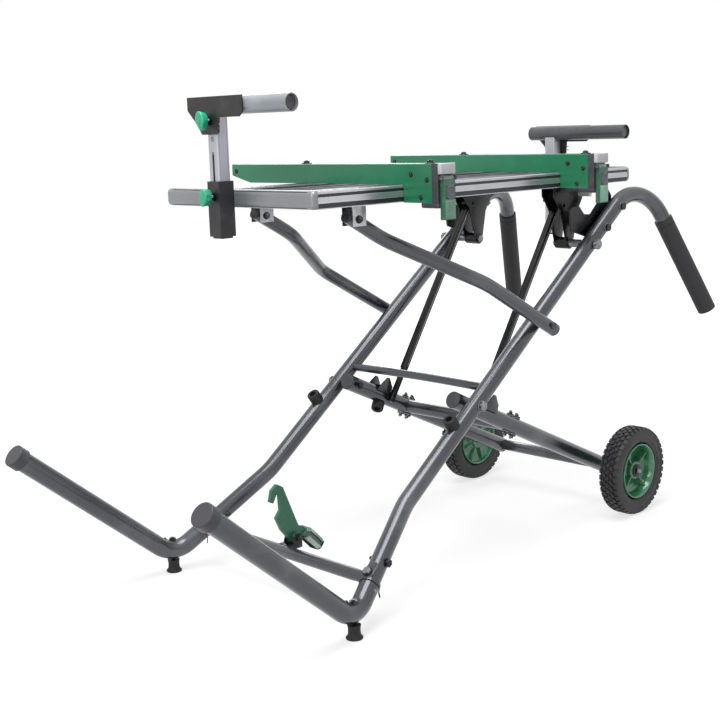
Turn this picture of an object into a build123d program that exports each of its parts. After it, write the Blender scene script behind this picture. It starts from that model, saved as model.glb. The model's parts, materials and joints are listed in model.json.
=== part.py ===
from build123d import *
from math import atan2, cos, degrees, hypot, radians, sin
import os

os.makedirs("parts", exist_ok=True)

# A folding, wheeled stand for a mitre saw.  Millimetres, +Z up, floor at z = 0.
# X runs along the table, from the folded feet to the handles, and Y across it.
# Front pieces are on the -Y side, and their rear twins are mirrored about y = 0.

# ---------------------------------------------------------------- driving sizes
leg_od = 35.0                 # main tubes, one and three eighths of an inch
tube_wall = 2.0
foot_wall = 1.5
sleeve_clear = 0.1            # leg tube in the foot tube that sleeves it
pin_clear = 0.05              # running fit of a pin in its bore, on radius
side_clear = 0.5              # flat faces that swing past each other
slide_clear = 0.4             # tubes and bars that slide in one another

leg_y = 197.0                 # centre plane of the straight leg run
knee_x, knee_z = 213.0, 183.0
lean = 36.38                  # slope of the straight run, degrees
knee_r = 120.0
corner_s = 1004.8             # knee to handle corner, along the run
corner_r = 95.0
grip_dx, grip_dy, grip_dz = 151.0, -89.0, -327.0
grip_len = 245.0
grip_wall = 3.5
foot_y = 267.0
foot_z = 34.0                 # corner point of the foot bend
foot_r = 55.0
foot_end_x, foot_end_y, foot_end_z = -334.0, -284.0, 315.0
joint_s = 84.0                # foot bend corner to the end of the sleeve
bolt_r = 4.0
head_r = 8.0
head_h = 5.5

arm_y = 153.0
arm_pivot_s = 265.8           # knee to wheel arm pivot, along the run
brace_pivot_s = 503.1         # knee to brace pivot
table_pivot_s = 755.2         # knee to table pivot
pivot_r = 6.0

wheel_d = 203.2
wheel_w = 46.0
wheel_y = 238.0
rim_d = 127.0
axle_r = 6.35
axle_x = 936.0

table_mid_x = 554.0
table_len = 984.0
rail_w = 36.0
rail_h = 33.0
rail_wall = 2.5
rail_y = 130.0
rail_z = 755.0                # underside of the rails

brace_od = 28.0
brace_out_y = 235.0
brace_bend_in_x = 244.0
brace_bend_out_x = 422.0
brace_bend_r = 110.0
slider_x = 163.0
slider_drop = 24.0            # rail underside to the brace pin
plate_t = 3.0

link_w = 17.0
link_deep = 24.0
link_wall = 2.5
link_top_x = 800.0
link_top_drop = 40.0
link_foot_s = 106.0           # wheel arm pivot to the link pin, along the arm

saw_mid_gap = 500.0           # between the two saw brackets
bracket_w = 40.0
bracket_front_y = -236.0
bracket_rear_y = 360.0
bracket_h = 39.0
bracket_wall = 2.5

bar_t = 13.0
bar_h = 34.0
bar_front_y = -148.0
bar_rear_y = 285.0
arm_reach = 440.0
socket_x = 36.0
socket_y = 34.0
socket_h = 104.0
socket_z = 702.0
post_side = 28.0
post_y = 87.0
post_low = 4.0                # how far a lowered post hangs below its socket
post_raise = 76.0             # the left post stands this much higher
support_d = 33.0
support_len = 300.0
support_mid_y = 15.0

# ---------------------------------------------------------------- derived sizes
leg_r = leg_od / 2
run_x = cos(radians(lean))
run_z = sin(radians(lean))


def on_run(s, rise=0.0):
    """Side-view point s along the straight leg run and rise above its axis."""
    return (knee_x + s * run_x - rise * run_z, knee_z + s * run_z + rise * run_x)


corner_x, corner_z = on_run(corner_s)
arm_pivot_x, arm_pivot_z = on_run(arm_pivot_s)
brace_pivot_x, brace_pivot_z = on_run(brace_pivot_s)
table_pivot_x, table_pivot_z = on_run(table_pivot_s)

grip_total = hypot(hypot(grip_dx, grip_dy), grip_dz)
grip_dir = Vector(grip_dx, grip_dy, grip_dz).normalized()
grip_end = Vector(corner_x, -leg_y, corner_z) + grip_dir * grip_total
grip_start = grip_end - grip_dir * grip_len

bend_point = Vector(0, -foot_y, foot_z)
knee_point = Vector(knee_x, -leg_y, knee_z)
shin_dir = (knee_point - bend_point).normalized()
foot_id = leg_od + 2 * sleeve_clear
foot_od = foot_id + 2 * foot_wall
foot_end = Vector(foot_end_x, foot_end_y, foot_end_z)

wheel_r = wheel_d / 2
axle_z = wheel_r
arm_len = hypot(axle_x - arm_pivot_x, axle_z - arm_pivot_z)
arm_dx = (axle_x - arm_pivot_x) / arm_len
arm_dz = (axle_z - arm_pivot_z) / arm_len
rail_top = rail_z + rail_h
slider_z = rail_z - slider_drop
link_top_z = rail_z - link_top_drop
table_x0 = table_mid_x - table_len / 2
table_x1 = table_mid_x + table_len / 2


def on_arm(s, rise=0.0):
    """Side-view point s along the wheel arm from its pivot and rise above its axis."""
    return (arm_pivot_x + s * arm_dx - rise * arm_dz, arm_pivot_z + s * arm_dz + rise * arm_dx)


link_foot_x, link_foot_z = on_arm(link_foot_s)
cap_t = 3.0
grip_od = leg_od + 2 * sleeve_clear + 2 * grip_wall

# The reference point is the middle of the footprint on the floor.
foot_cap_r = foot_od / 2 + cap_t
foot_in_dir = (bend_point - foot_end).normalized()
low_x = foot_end.X - cap_t * foot_in_dir.X - foot_cap_r * hypot(foot_in_dir.Y, foot_in_dir.Z)
high_x = grip_end.X + cap_t * grip_dir.X + grip_od / 2 * hypot(grip_dir.Y, grip_dir.Z)
low_y = grip_end.Y + cap_t * grip_dir.Y - grip_od / 2 * hypot(grip_dir.X, grip_dir.Z)
centre_x = (low_x + high_x) / 2
centre_y = (low_y + bracket_rear_y) / 2


def save(piece, node):
    """Label one finished piece, set it on the reference point and write it."""
    placed = piece.part.moved(Location((-centre_x, -centre_y, 0)))
    placed.label = node
    export_step(placed, f"parts/{node}.step")


def across(point, facing=1.0):
    """Plane at a side-view point whose normal runs along Y."""
    return Plane(origin=point, x_dir=(1, 0, 0), z_dir=(0, -facing, 0))


# ---------------------------------------------------------------- leg frame
# Each leg is one long tube: it rises from inside the foot tube, bends at the knee,
# runs straight under the table and turns down and outward into the handle.
leg_low = bend_point + shin_dir * (joint_s - 34.0)
leg_high = grip_end - grip_dir * 4.0
leg_line_points = (leg_low, knee_point, Vector(corner_x, -leg_y, corner_z), leg_high)

with BuildPart() as leg_tube_front:
    with BuildLine() as leg_line:
        FilletPolyline(*leg_line_points, radius=(knee_r, corner_r))
    with BuildSketch(Plane(origin=leg_low, z_dir=shin_dir)):
        Circle(leg_r)
        Circle(leg_r - tube_wall, mode=Mode.SUBTRACT)
    sweep()
    # bores for the pins and bolts that cross the straight run
    for s, r in (
        (arm_pivot_s, pivot_r + pin_clear),
        (table_pivot_s, pivot_r + pin_clear),
    ):
        x, z = on_run(s)
        with BuildSketch(across((x, -leg_y + leg_od, z))):
            Circle(r)
        extrude(amount=2 * leg_od, mode=Mode.SUBTRACT)
    # cross tube bolt near the sleeve joint is below, so only the top bolts follow
    lock_bolts = (table_pivot_s + 56.0, table_pivot_s + 128.0)
    for s in lock_bolts:
        x, z = on_run(s)
        with BuildSketch(across((x, -leg_y + leg_od, z))):
            Circle(bolt_r + pin_clear)
        extrude(amount=2 * leg_od, mode=Mode.SUBTRACT)

with BuildPart() as leg_tube_rear:
    mirror(leg_tube_front.part, about=Plane.XZ)
save(leg_tube_front, "leg_tube_front")
save(leg_tube_rear, "leg_tube_rear")

# The foot tube sleeves the leg, bends on the floor and runs back up to a capped end.
foot_high = bend_point + shin_dir * joint_s
with BuildPart() as foot_solid:
    with BuildLine() as foot_line:
        FilletPolyline(foot_end, bend_point, foot_high, radius=foot_r)
    with BuildSketch(Plane(origin=foot_end, z_dir=foot_in_dir)):
        Circle(foot_od / 2)
    sweep()

apex_rise = foot_r * (1 / cos(foot_in_dir.get_angle(shin_dir) * 0.5 * radians(1)) - 1)
foot_stud_z = foot_z + apex_rise + foot_od / 2
cross_s = joint_s + 6.0
cross_mid = bend_point + shin_dir * cross_s
cross_bolt_x = cross_mid.X

with BuildPart() as foot_tube_front:
    with BuildLine() as foot_line:
        FilletPolyline(foot_end, bend_point, foot_high, radius=foot_r)
    with BuildSketch(Plane(origin=foot_end, z_dir=foot_in_dir)):
        Circle(foot_od / 2)
        Circle(foot_id / 2, mode=Mode.SUBTRACT)
    sweep()
    # upright hole for the stud of the rubber foot
    with BuildSketch(Plane.XY):
        with Locations((0, -foot_y)):
            Circle(bolt_r + pin_clear)
    extrude(amount=foot_stud_z + 10, mode=Mode.SUBTRACT)

with BuildPart() as foot_tube_rear:
    mirror(foot_tube_front.part, about=Plane.XZ)
save(foot_tube_front, "foot_tube_front")
save(foot_tube_rear, "foot_tube_rear")

# Black domed caps over the free ends of the foot tubes.
with BuildPart() as foot_caps:
    with BuildSketch(Plane(origin=foot_end - foot_in_dir * cap_t, z_dir=foot_in_dir)):
        Circle(foot_cap_r)
    extrude(amount=22.0)
    with BuildSketch(Plane(origin=foot_end, z_dir=foot_in_dir)):
        Circle(foot_od / 2)
    extrude(amount=30.0, mode=Mode.SUBTRACT)
    fillet(foot_caps.edges().filter_by(GeomType.CIRCLE).sort_by(Axis.X)[0], radius=2.4)
    mirror(about=Plane.XZ)
save(foot_caps, "foot_caps")

# Rubber hand grips pushed over the leg ends.
with BuildPart() as grips:
    with BuildSketch(Plane(origin=grip_start, z_dir=grip_dir)):
        Circle(grip_od / 2)
    extrude(amount=grip_len + cap_t)
    with BuildSketch(Plane(origin=grip_start, z_dir=grip_dir)):
        Circle(leg_r + sleeve_clear)
    extrude(amount=grip_len - 4.0, mode=Mode.SUBTRACT)
    fillet(grips.edges().sort_by(Axis.Z)[0], radius=2.0)
    with BuildSketch(Plane(origin=grip_start + grip_dir * 12.0, z_dir=grip_dir)):
        Circle(grip_od / 2 + 1.0)
        Circle(grip_od / 2 - 0.8, mode=Mode.SUBTRACT)
    extrude(amount=2.5, mode=Mode.SUBTRACT)
    mirror(about=Plane.XZ)
save(grips, "grips")

# Rubber feet under the foot bends, and rubber bumpers standing on the leg runs.
bumper_s = 192.5
bumper_h = 37.0
bumper_r = 14.0
foot_pad_h = foot_z + apex_rise - foot_od / 2 + 8.0
with BuildPart() as rubber_feet:
    with BuildSketch(Plane.XY):
        with Locations((0, -foot_y)):
            Circle(16.0)
    extrude(amount=4.0)
    with BuildSketch(Plane.XY.offset(4.0)):
        with Locations((0, -foot_y)):
            Circle(13.0)
    extrude(amount=foot_pad_h - 4.0)
    add(foot_solid.part, mode=Mode.SUBTRACT)
    with BuildSketch(Plane.XY.offset(6.0)):
        with Locations((0, -foot_y)):
            Circle(bolt_r + pin_clear)
    extrude(amount=foot_pad_h, mode=Mode.SUBTRACT)
    x, z = on_run(bumper_s, leg_r - 4.0)
    with BuildSketch(Plane(origin=(x, -leg_y, z), z_dir=(-run_z, 0, run_x))):
        Circle(bumper_r)
    extrude(amount=bumper_h - leg_r + 4.0)
    x, z = on_run(bumper_s - 40.0)
    with BuildSketch(Plane(origin=(x, -leg_y, z), z_dir=(run_x, 0, run_z))):
        Circle(leg_r)
    extrude(amount=80.0, mode=Mode.SUBTRACT)
    x, z = on_run(bumper_s, bumper_h)
    with BuildSketch(Plane(origin=(x, -leg_y, z), z_dir=(run_z, 0, -run_x))):
        Circle(5.0)
    extrude(amount=8.0, mode=Mode.SUBTRACT)
    mirror(about=Plane.XZ)
save(rubber_feet, "rubber_feet")

# The lower cross tube ties the legs just above the foot sleeves.
cross_od = 30.0
cross_x, cross_z = cross_mid.X, cross_mid.Z
cross_y = -cross_mid.Y
with BuildPart() as foot_cross_tube:
    with BuildSketch(across((cross_x, -cross_y, cross_z), -1.0)):
        Circle(cross_od / 2)
    extrude(amount=2 * cross_y)
    for side in (1, -1):
        leg_axis = Vector(shin_dir.X, shin_dir.Y * side, shin_dir.Z)
        leg_base = Vector(cross_mid.X, cross_mid.Y * side, cross_mid.Z) - leg_axis * 60
        with BuildSketch(Plane(origin=leg_base, z_dir=leg_axis)):
            Circle(foot_od / 2)
        extrude(amount=120.0, mode=Mode.SUBTRACT)
    with BuildSketch(across((cross_x, -cross_y, cross_z), -1.0)):
        Circle(cross_od / 2 - tube_wall)
    extrude(amount=2 * cross_y, mode=Mode.SUBTRACT)
save(foot_cross_tube, "foot_cross_tube")

# The upper cross bar ties the legs just above the wheel arm pivots and stops the arms.
leg_bar_s = 313.0
leg_bar_r = 7.5
leg_bar_x, leg_bar_z = on_run(leg_bar_s)
with BuildPart() as leg_cross_bar:
    with BuildSketch(across((leg_bar_x, -leg_y, leg_bar_z), -1.0)):
        Circle(leg_bar_r)
        Circle(leg_bar_r - tube_wall, mode=Mode.SUBTRACT)
    extrude(amount=2 * leg_y)
    x, z = on_run(leg_bar_s - 40.0)
    for side in (1, -1):
        with BuildSketch(Plane(origin=(x, side * leg_y, z), z_dir=(run_x, 0, run_z))):
            Circle(leg_r)
        extrude(amount=80.0, mode=Mode.SUBTRACT)
save(leg_cross_bar, "leg_cross_bar")

# Lock plates: black plates on the inner faces of the legs, notched for the lock rod.
lock_t = 4.0
lock_y = leg_y - leg_r - lock_t
lock_notch_x, lock_notch_z = table_pivot_x + 36.0, table_pivot_z + 106.0
with BuildPart() as lock_plates:
    with BuildSketch(Plane.XZ.offset(lock_y)):
        with BuildLine():
            Polyline(
                (table_pivot_x - 40.0, table_pivot_z + 30.0),
                (table_pivot_x + 14.0, table_pivot_z + 14.0),
                (table_pivot_x + 60.0, table_pivot_z + 34.0),
                (table_pivot_x + 114.0, table_pivot_z + 78.0),
                (table_pivot_x + 112.0, table_pivot_z + 100.0),
                (table_pivot_x + 92.0, table_pivot_z + 122.0),
                (table_pivot_x + 74.0, table_pivot_z + 118.0),
                (table_pivot_x + 60.0, table_pivot_z + 84.0),
                (table_pivot_x + 34.0, table_pivot_z + 62.0),
                (table_pivot_x + 8.0, table_pivot_z + 64.0),
                (table_pivot_x - 12.0, table_pivot_z + 84.0),
                (table_pivot_x - 44.0, table_pivot_z + 80.0),
                close=True,
            )
        make_face()
    extrude(amount=lock_t)
    fillet(lock_plates.edges().filter_by(Axis.Y), radius=6.0)
    for s in lock_bolts:
        x, z = on_run(s)
        with BuildSketch(across((x, -lock_y + 10, z))):
            Circle(bolt_r + pin_clear)
        extrude(amount=20.0, mode=Mode.SUBTRACT)
    mirror(about=Plane.XZ)
save(lock_plates, "lock_plates")

# Bolts of the leg frame: wheel arm pivots, lock plate bolts and foot studs.
bolt_out = leg_y + leg_r
with BuildPart() as leg_bolts:
    with BuildSketch(across((arm_pivot_x, -bolt_out - head_h, arm_pivot_z), -1.0)):
        RegularPolygon(head_r + 2.0, 6)
    extrude(amount=head_h)
    with BuildSketch(across((arm_pivot_x, -bolt_out, arm_pivot_z), -1.0)):
        Circle(pivot_r)
    extrude(amount=bolt_out - arm_y + leg_r + 9.0)
    with BuildSketch(across((arm_pivot_x, -arm_y + leg_r + side_clear, arm_pivot_z), -1.0)):
        RegularPolygon(head_r + 2.0, 6)
    extrude(amount=head_h)
    for s in lock_bolts:
        x, z = on_run(s)
        with BuildSketch(across((x, -bolt_out - head_h, z), -1.0)):
            Circle(head_r)
        extrude(amount=head_h)
        with BuildSketch(across((x, -bolt_out, z), -1.0)):
            Circle(bolt_r)
        extrude(amount=bolt_out - lock_y + 6.0)
        with BuildSketch(across((x, -lock_y, z), -1.0)):
            RegularPolygon(head_r, 6)
        extrude(amount=head_h)
    with BuildSketch(Plane.XY.offset(6.0)):
        with Locations((0, -foot_y)):
            Circle(bolt_r)
    extrude(amount=foot_stud_z)
    with BuildSketch(Plane.XY.offset(foot_stud_z - 3.0)):
        with Locations((0, -foot_y)):
            RegularPolygon(head_r, 6)
    extrude(amount=7.0)
    add(foot_tube_front.part, mode=Mode.SUBTRACT)
    mirror(about=Plane.XZ)
save(leg_bolts, "leg_bolts")

# The latch bracket is a small clevis standing on the cross tube.
latch_x, latch_z = cross_x + 29.0, cross_z + 23.0
latch_gap = 26.0
ear_t = 3.0
with BuildPart() as latch_bracket:
    with BuildSketch(Plane.XZ.offset(latch_gap / 2)):
        with BuildLine():
            Polyline(
                (cross_x - 30.0, cross_z + 8.0),
                (cross_x + 8.0, cross_z + 6.0),
                (latch_x + 14.0, latch_z - 14.0),
                (latch_x + 14.0, latch_z + 12.0),
                (latch_x - 10.0, latch_z + 14.0),
                (cross_x - 30.0, cross_z + 30.0),
                close=True,
            )
        make_face()
    extrude(amount=ear_t)
    fillet(latch_bracket.edges().filter_by(Axis.Y), radius=5.0)
    mirror(about=Plane.XZ)
    with BuildSketch(Plane.XZ.offset(-latch_gap / 2)):
        with Locations((cross_x - 24.0, cross_z + 18.0)):
            Circle(5.0)
    extrude(amount=latch_gap)
    with BuildSketch(across((latch_x, -latch_gap, latch_z), -1.0)):
        Circle(bolt_r)
    extrude(amount=2 * latch_gap)
    with BuildSketch(across((cross_x, -latch_gap, cross_z), -1.0)):
        Circle(cross_od / 2)
    extrude(amount=2 * latch_gap, mode=Mode.SUBTRACT)
save(latch_bracket, "latch_bracket")

# The foot latch: a flat hook that catches the folded table, with its foot pedal.
hook_t = 8.0
with BuildPart() as foot_latch:
    with BuildSketch(Plane.XZ.offset(-hook_t / 2)):
        with BuildLine():
            Polyline(
                (latch_x - 6.0, latch_z - 12.0),
                (latch_x + 12.0, latch_z - 12.0),
                (latch_x + 34.0, latch_z - 4.0),
                (latch_x + 34.0, latch_z + 8.0),
                (latch_x + 10.0, latch_z + 22.0),
                (latch_x - 26.0, latch_z + 108.0),
                (latch_x - 40.0, latch_z + 116.0),
                (latch_x - 54.0, latch_z + 106.0),
                (latch_x - 60.0, latch_z + 84.0),
                (latch_x - 52.0, latch_z + 80.0),
                (latch_x - 43.0, latch_z + 96.0),
                (latch_x - 36.0, latch_z + 96.0),
                (latch_x - 34.0, latch_z + 62.0),
                (latch_x - 46.0, latch_z + 48.0),
                (latch_x - 34.0, latch_z + 22.0),
                close=True,
            )
        make_face()
    extrude(amount=hook_t)
    fillet(foot_latch.edges().filter_by(Axis.Y), radius=2.0)
    with BuildSketch(across((latch_x, -hook_t, latch_z), -1.0)):
        Circle(bolt_r + pin_clear)
    extrude(amount=2 * hook_t, mode=Mode.SUBTRACT)
save(foot_latch, "foot_latch")

with BuildPart() as latch_pedal:
    with BuildSketch(Plane.XZ.offset(-18.0)):
        with BuildLine():
            Polyline(
                (latch_x + 20.0, latch_z + 12.0),
                (latch_x + 44.0, latch_z + 6.0),
                (latch_x + 72.0, latch_z - 28.0),
                (latch_x + 68.0, latch_z - 40.0),
                (latch_x + 56.0, latch_z - 42.0),
                (latch_x + 24.0, latch_z - 14.0),
                close=True,
            )
        make_face()
    extrude(amount=36.0)
    fillet(latch_pedal.edges().filter_by(Axis.Y), radius=4.0)
    add(foot_latch.part, mode=Mode.SUBTRACT)
save(latch_pedal, "latch_pedal")

# ---------------------------------------------------------------- wheel frame
# Two straight arms run from the leg pivots down to the axle.
arm_cap_s = -17.0
arm_end_s = arm_len + 14.0
cap_x, cap_z = on_arm(arm_cap_s)
gap_side_y = arm_y + leg_r
with BuildPart() as wheel_arm_front:
    with BuildSketch(Plane(origin=(cap_x, -arm_y, cap_z), z_dir=(arm_dx, 0, arm_dz))):
        Circle(leg_r)
        Circle(leg_r - tube_wall, mode=Mode.SUBTRACT)
    extrude(amount=arm_end_s - arm_cap_s)
    for s, r in (
        (0.0, pivot_r + pin_clear),
        (arm_len, axle_r + pin_clear),
    ):
        x, z = on_arm(s)
        with BuildSketch(across((x, -arm_y + leg_od, z))):
            Circle(r)
        extrude(amount=2 * leg_od, mode=Mode.SUBTRACT)

with BuildPart() as wheel_arm_rear:
    mirror(wheel_arm_front.part, about=Plane.XZ)
save(wheel_arm_front, "wheel_arm_front")
save(wheel_arm_rear, "wheel_arm_rear")

# End caps of the arms.
end_x, end_z = on_arm(arm_end_s)
with BuildPart() as arm_caps:
    with BuildSketch(Plane(origin=(cap_x, -arm_y, cap_z), z_dir=(-arm_dx, 0, -arm_dz))):
        Circle(leg_r)
    extrude(amount=cap_t)
    with BuildSketch(Plane(origin=(end_x, -arm_y, end_z), z_dir=(arm_dx, 0, arm_dz))):
        Circle(leg_r)
    extrude(amount=cap_t)
    fillet(arm_caps.edges().filter_by(GeomType.CIRCLE).group_by(Axis.X)[0], radius=1.5)
    mirror(about=Plane.XZ)
save(arm_caps, "arm_caps")

# The axle runs through both arms and carries a wheel on each end.
hub_in = wheel_y - wheel_w / 2 - 4.0
hub_out = wheel_y + wheel_w / 2
with BuildPart() as axle:
    with BuildSketch(across((axle_x, -hub_out - 12.0, axle_z), -1.0)):
        Circle(axle_r)
    extrude(amount=2 * (hub_out + 12.0))
    for side in (1, -1):
        with BuildSketch(across((axle_x, side * (arm_y + leg_r + 0.3), axle_z), -side)):
            Circle(axle_r + 5.0)
        extrude(amount=hub_in - arm_y - leg_r - 0.6)
        with BuildSketch(across((axle_x, side * (hub_out + 0.3), axle_z), -side)):
            RegularPolygon(11.0, 6)
        extrude(amount=8.0)
save(axle, "axle")

# Cross tube between the arms, flattened at its ends and bolted from above.
arm_cross_s = 187.0
tie_od = 30.0
tie_x, tie_z = on_arm(arm_cross_s)
with BuildPart() as arm_cross_tube:
    with BuildSketch(across((tie_x, -arm_y, tie_z), -1.0)):
        Circle(tie_od / 2)
        Circle(tie_od / 2 - tube_wall, mode=Mode.SUBTRACT)
    extrude(amount=2 * arm_y)
    for side in (1, -1):
        x, z = on_arm(arm_cross_s - 60.0)
        with BuildSketch(Plane(origin=(x, side * arm_y, z), z_dir=(arm_dx, 0, arm_dz))):
            Circle(leg_r)
        extrude(amount=120.0, mode=Mode.SUBTRACT)
save(arm_cross_tube, "arm_cross_tube")

# Stop brackets: folded channels that saddle the arms and bear on the upper cross bar.
saddle_t = 2.0
saddle_profile = (
    (46.0, -2.0), (134.0, -2.0), (134.0, 22.0), (104.0, 49.0), (82.0, 49.0), (46.0, 24.0),
)
with BuildPart() as arm_gussets:
    with BuildSketch(Plane.XZ.offset(arm_y - leg_r - saddle_t)):
        with BuildLine():
            Polyline(*[on_arm(s, rise) for s, rise in saddle_profile], close=True)
        make_face()
    extrude(amount=leg_od + 2 * saddle_t)
    with BuildSketch(Plane.XZ.offset(arm_y - leg_r)):
        with BuildLine():
            Polyline(
                on_arm(20.0, -10.0),
                on_arm(160.0, -10.0),
                on_arm(160.0, leg_r - 14.0),
                on_arm(104.0, 49.0 - saddle_t),
                on_arm(82.0, 49.0 - saddle_t),
                on_arm(20.0, 4.0),
                close=True,
            )
        make_face()
    extrude(amount=leg_od, mode=Mode.SUBTRACT)
    mirror(about=Plane.XZ)
save(arm_gussets, "arm_gussets")

# A rubber bumper hangs under the rear arm and meets the folded foot tube.
with BuildPart() as fold_bumper:
    x, z = on_arm(93.0, -leg_r + 4.0)
    with BuildSketch(Plane(origin=(x, arm_y, z), z_dir=(arm_dz, 0, -arm_dx))):
        Circle(bumper_r)
    extrude(amount=30.0)
    x, z = on_arm(40.0)
    with BuildSketch(Plane(origin=(x, arm_y, z), z_dir=(arm_dx, 0, arm_dz))):
        Circle(leg_r)
    extrude(amount=110.0, mode=Mode.SUBTRACT)
    x, z = on_arm(93.0, -leg_r - 26.0)
    with BuildSketch(Plane(origin=(x, arm_y, z), z_dir=(-arm_dz, 0, arm_dx))):
        Circle(5.0)
    extrude(amount=8.0, mode=Mode.SUBTRACT)
save(fold_bumper, "fold_bumper")

# Bosses on the inner sides of the arms take the link pins, and upright bolts hold
# the ends of the arm cross tube.
link_y = rail_y - plate_t / 2 - 3.0
bar_w = link_w - 2 * link_wall - 2 * slide_clear
boss_face = link_y + bar_w / 2 + side_clear
with BuildPart() as frame_bolts:
    with BuildSketch(across((link_foot_x, -arm_y + leg_r + saddle_t, link_foot_z), -1.0)):
        Circle(head_r + 2.0)
    extrude(amount=arm_y - leg_r - saddle_t - boss_face)
    for s in (arm_cross_s - 10.0, arm_cross_s + 14.0):
        x, z = on_arm(s, -leg_r - 9.0)
        with BuildSketch(Plane(origin=(x, -arm_y, z), z_dir=(-arm_dz, 0, arm_dx))):
            Circle(bolt_r)
        extrude(amount=leg_od + 18.0)
        for rise in (-leg_r - head_h + 1.0, leg_r - 1.0):
            x, z = on_arm(s, rise)
            with BuildSketch(Plane(origin=(x, -arm_y, z), z_dir=(-arm_dz, 0, arm_dx))):
                RegularPolygon(head_r, 6)
            extrude(amount=head_h)
    x, z = on_arm(link_foot_s - 40.0)
    with BuildSketch(Plane(origin=(x, -arm_y, z), z_dir=(arm_dx, 0, arm_dz))):
        Circle(leg_r)
    extrude(amount=180.0, mode=Mode.SUBTRACT)
    mirror(about=Plane.XZ)
save(frame_bolts, "frame_bolts")

# ---------------------------------------------------------------- wheels
with BuildPart() as rim_front:
    with BuildSketch(across((axle_x, -hub_in, axle_z))):
        Circle(24.0)
    extrude(amount=wheel_w + 4.0)
    with BuildSketch(across((axle_x, -wheel_y + 4.0, axle_z))):
        Circle(rim_d / 2 - 5.0)
    extrude(amount=8.0)
    with BuildSketch(across((axle_x, -wheel_y + wheel_w / 2 - 3.0, axle_z))):
        Circle(rim_d / 2)
        Circle(rim_d / 2 - 6.0, mode=Mode.SUBTRACT)
    extrude(amount=wheel_w - 6.0)
    with BuildSketch(across((axle_x, -wheel_y + wheel_w / 2 - 6.0, axle_z))):
        with PolarLocations(38.0, 8):
            Rectangle(36.0, 4.0)
    extrude(amount=wheel_w - 12.0)
    with BuildSketch(across((axle_x, -hub_in + 5.0, axle_z))):
        Circle(axle_r + pin_clear)
    extrude(amount=wheel_w + 20.0, mode=Mode.SUBTRACT)

with BuildPart() as rim_rear:
    mirror(rim_front.part, about=Plane.XZ)
save(rim_front, "rim_front")
save(rim_rear, "rim_rear")

with BuildPart() as tyre_front:
    with BuildSketch(across((axle_x, -wheel_y + wheel_w / 2, axle_z))):
        Circle(wheel_r)
    extrude(amount=wheel_w)
    fillet(tyre_front.edges().filter_by(GeomType.CIRCLE), radius=9.0)
    with BuildSketch(across((axle_x, -wheel_y + wheel_w / 2 + 5.0, axle_z))):
        Circle(rim_d / 2)
    extrude(amount=wheel_w + 10.0, mode=Mode.SUBTRACT)

with BuildPart() as tyre_rear:
    mirror(tyre_front.part, about=Plane.XZ)
save(tyre_front, "tyre_front")
save(tyre_rear, "tyre_rear")

# ---------------------------------------------------------------- table
# Two hollow rails with grooved outer faces carry the saw brackets.
with BuildPart() as rail_front:
    with BuildSketch(Plane.YZ.offset(table_x0)):
        with Locations((-rail_y, rail_z + rail_h / 2)):
            Rectangle(rail_w, rail_h)
            Rectangle(rail_w - 2 * rail_wall, rail_h - 2 * rail_wall, mode=Mode.SUBTRACT)
        for groove_z in (0.3, 0.62):
            with Locations((-rail_y - rail_w / 2, rail_z + rail_h * groove_z)):
                Rectangle(2.0, 4.0, mode=Mode.SUBTRACT)
    extrude(amount=table_len)

with BuildPart() as rail_rear:
    mirror(rail_front.part, about=Plane.XZ)
save(rail_front, "rail_front")
save(rail_rear, "rail_rear")

# Pivot brackets: black channels under the rails that taper down to the table pivot.
bracket_out = 17.0
boss_r = 11.0
lock_rod_r = 5.0
lock_rod_x = lock_notch_x - 2.0
lock_rod_z = rail_z - 18.0
with BuildPart() as pivot_brackets:
    with BuildSketch(Plane.XZ.offset(rail_y - bracket_out)):
        with BuildLine():
            Polyline(
                (table_pivot_x - 58.0, rail_z),
                (table_pivot_x - 58.0, rail_z - 18.0),
                (table_pivot_x - 34.0, rail_z - 50.0),
                (table_pivot_x - 13.0, table_pivot_z),
                (table_pivot_x + 13.0, table_pivot_z),
                (table_pivot_x + 26.0, rail_z - 60.0),
                (table_pivot_x + 101.0, rail_z - 18.0),
                (table_pivot_x + 101.0, rail_z),
                close=True,
            )
        make_face()
    extrude(amount=2 * bracket_out)
    with BuildSketch(Plane.XZ.offset(rail_y - bracket_out + plate_t)):
        with Locations((table_pivot_x, rail_z - plate_t - 100.0)):
            Rectangle(400.0, 200.0)
    extrude(amount=2 * bracket_out - 2 * plate_t, mode=Mode.SUBTRACT)
    with BuildSketch(across((table_pivot_x, -rail_y - bracket_out, table_pivot_z), -1.0)):
        Circle(boss_r + 2.0)
    extrude(amount=2 * bracket_out)
    with BuildSketch(across((table_pivot_x, -rail_y - bracket_out - 5.0, table_pivot_z), -1.0)):
        Circle(pivot_r)
    extrude(amount=2 * bracket_out + 10.0, mode=Mode.SUBTRACT)
    for x, z, r in ((lock_rod_x, lock_rod_z, lock_rod_r), (link_top_x, link_top_z, bolt_r)):
        with BuildSketch(across((x, -rail_y + bracket_out + 5.0, z))):
            Circle(r)
        extrude(amount=2 * bracket_out + 10.0, mode=Mode.SUBTRACT)
    mirror(about=Plane.XZ)
save(pivot_brackets, "pivot_brackets")

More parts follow.
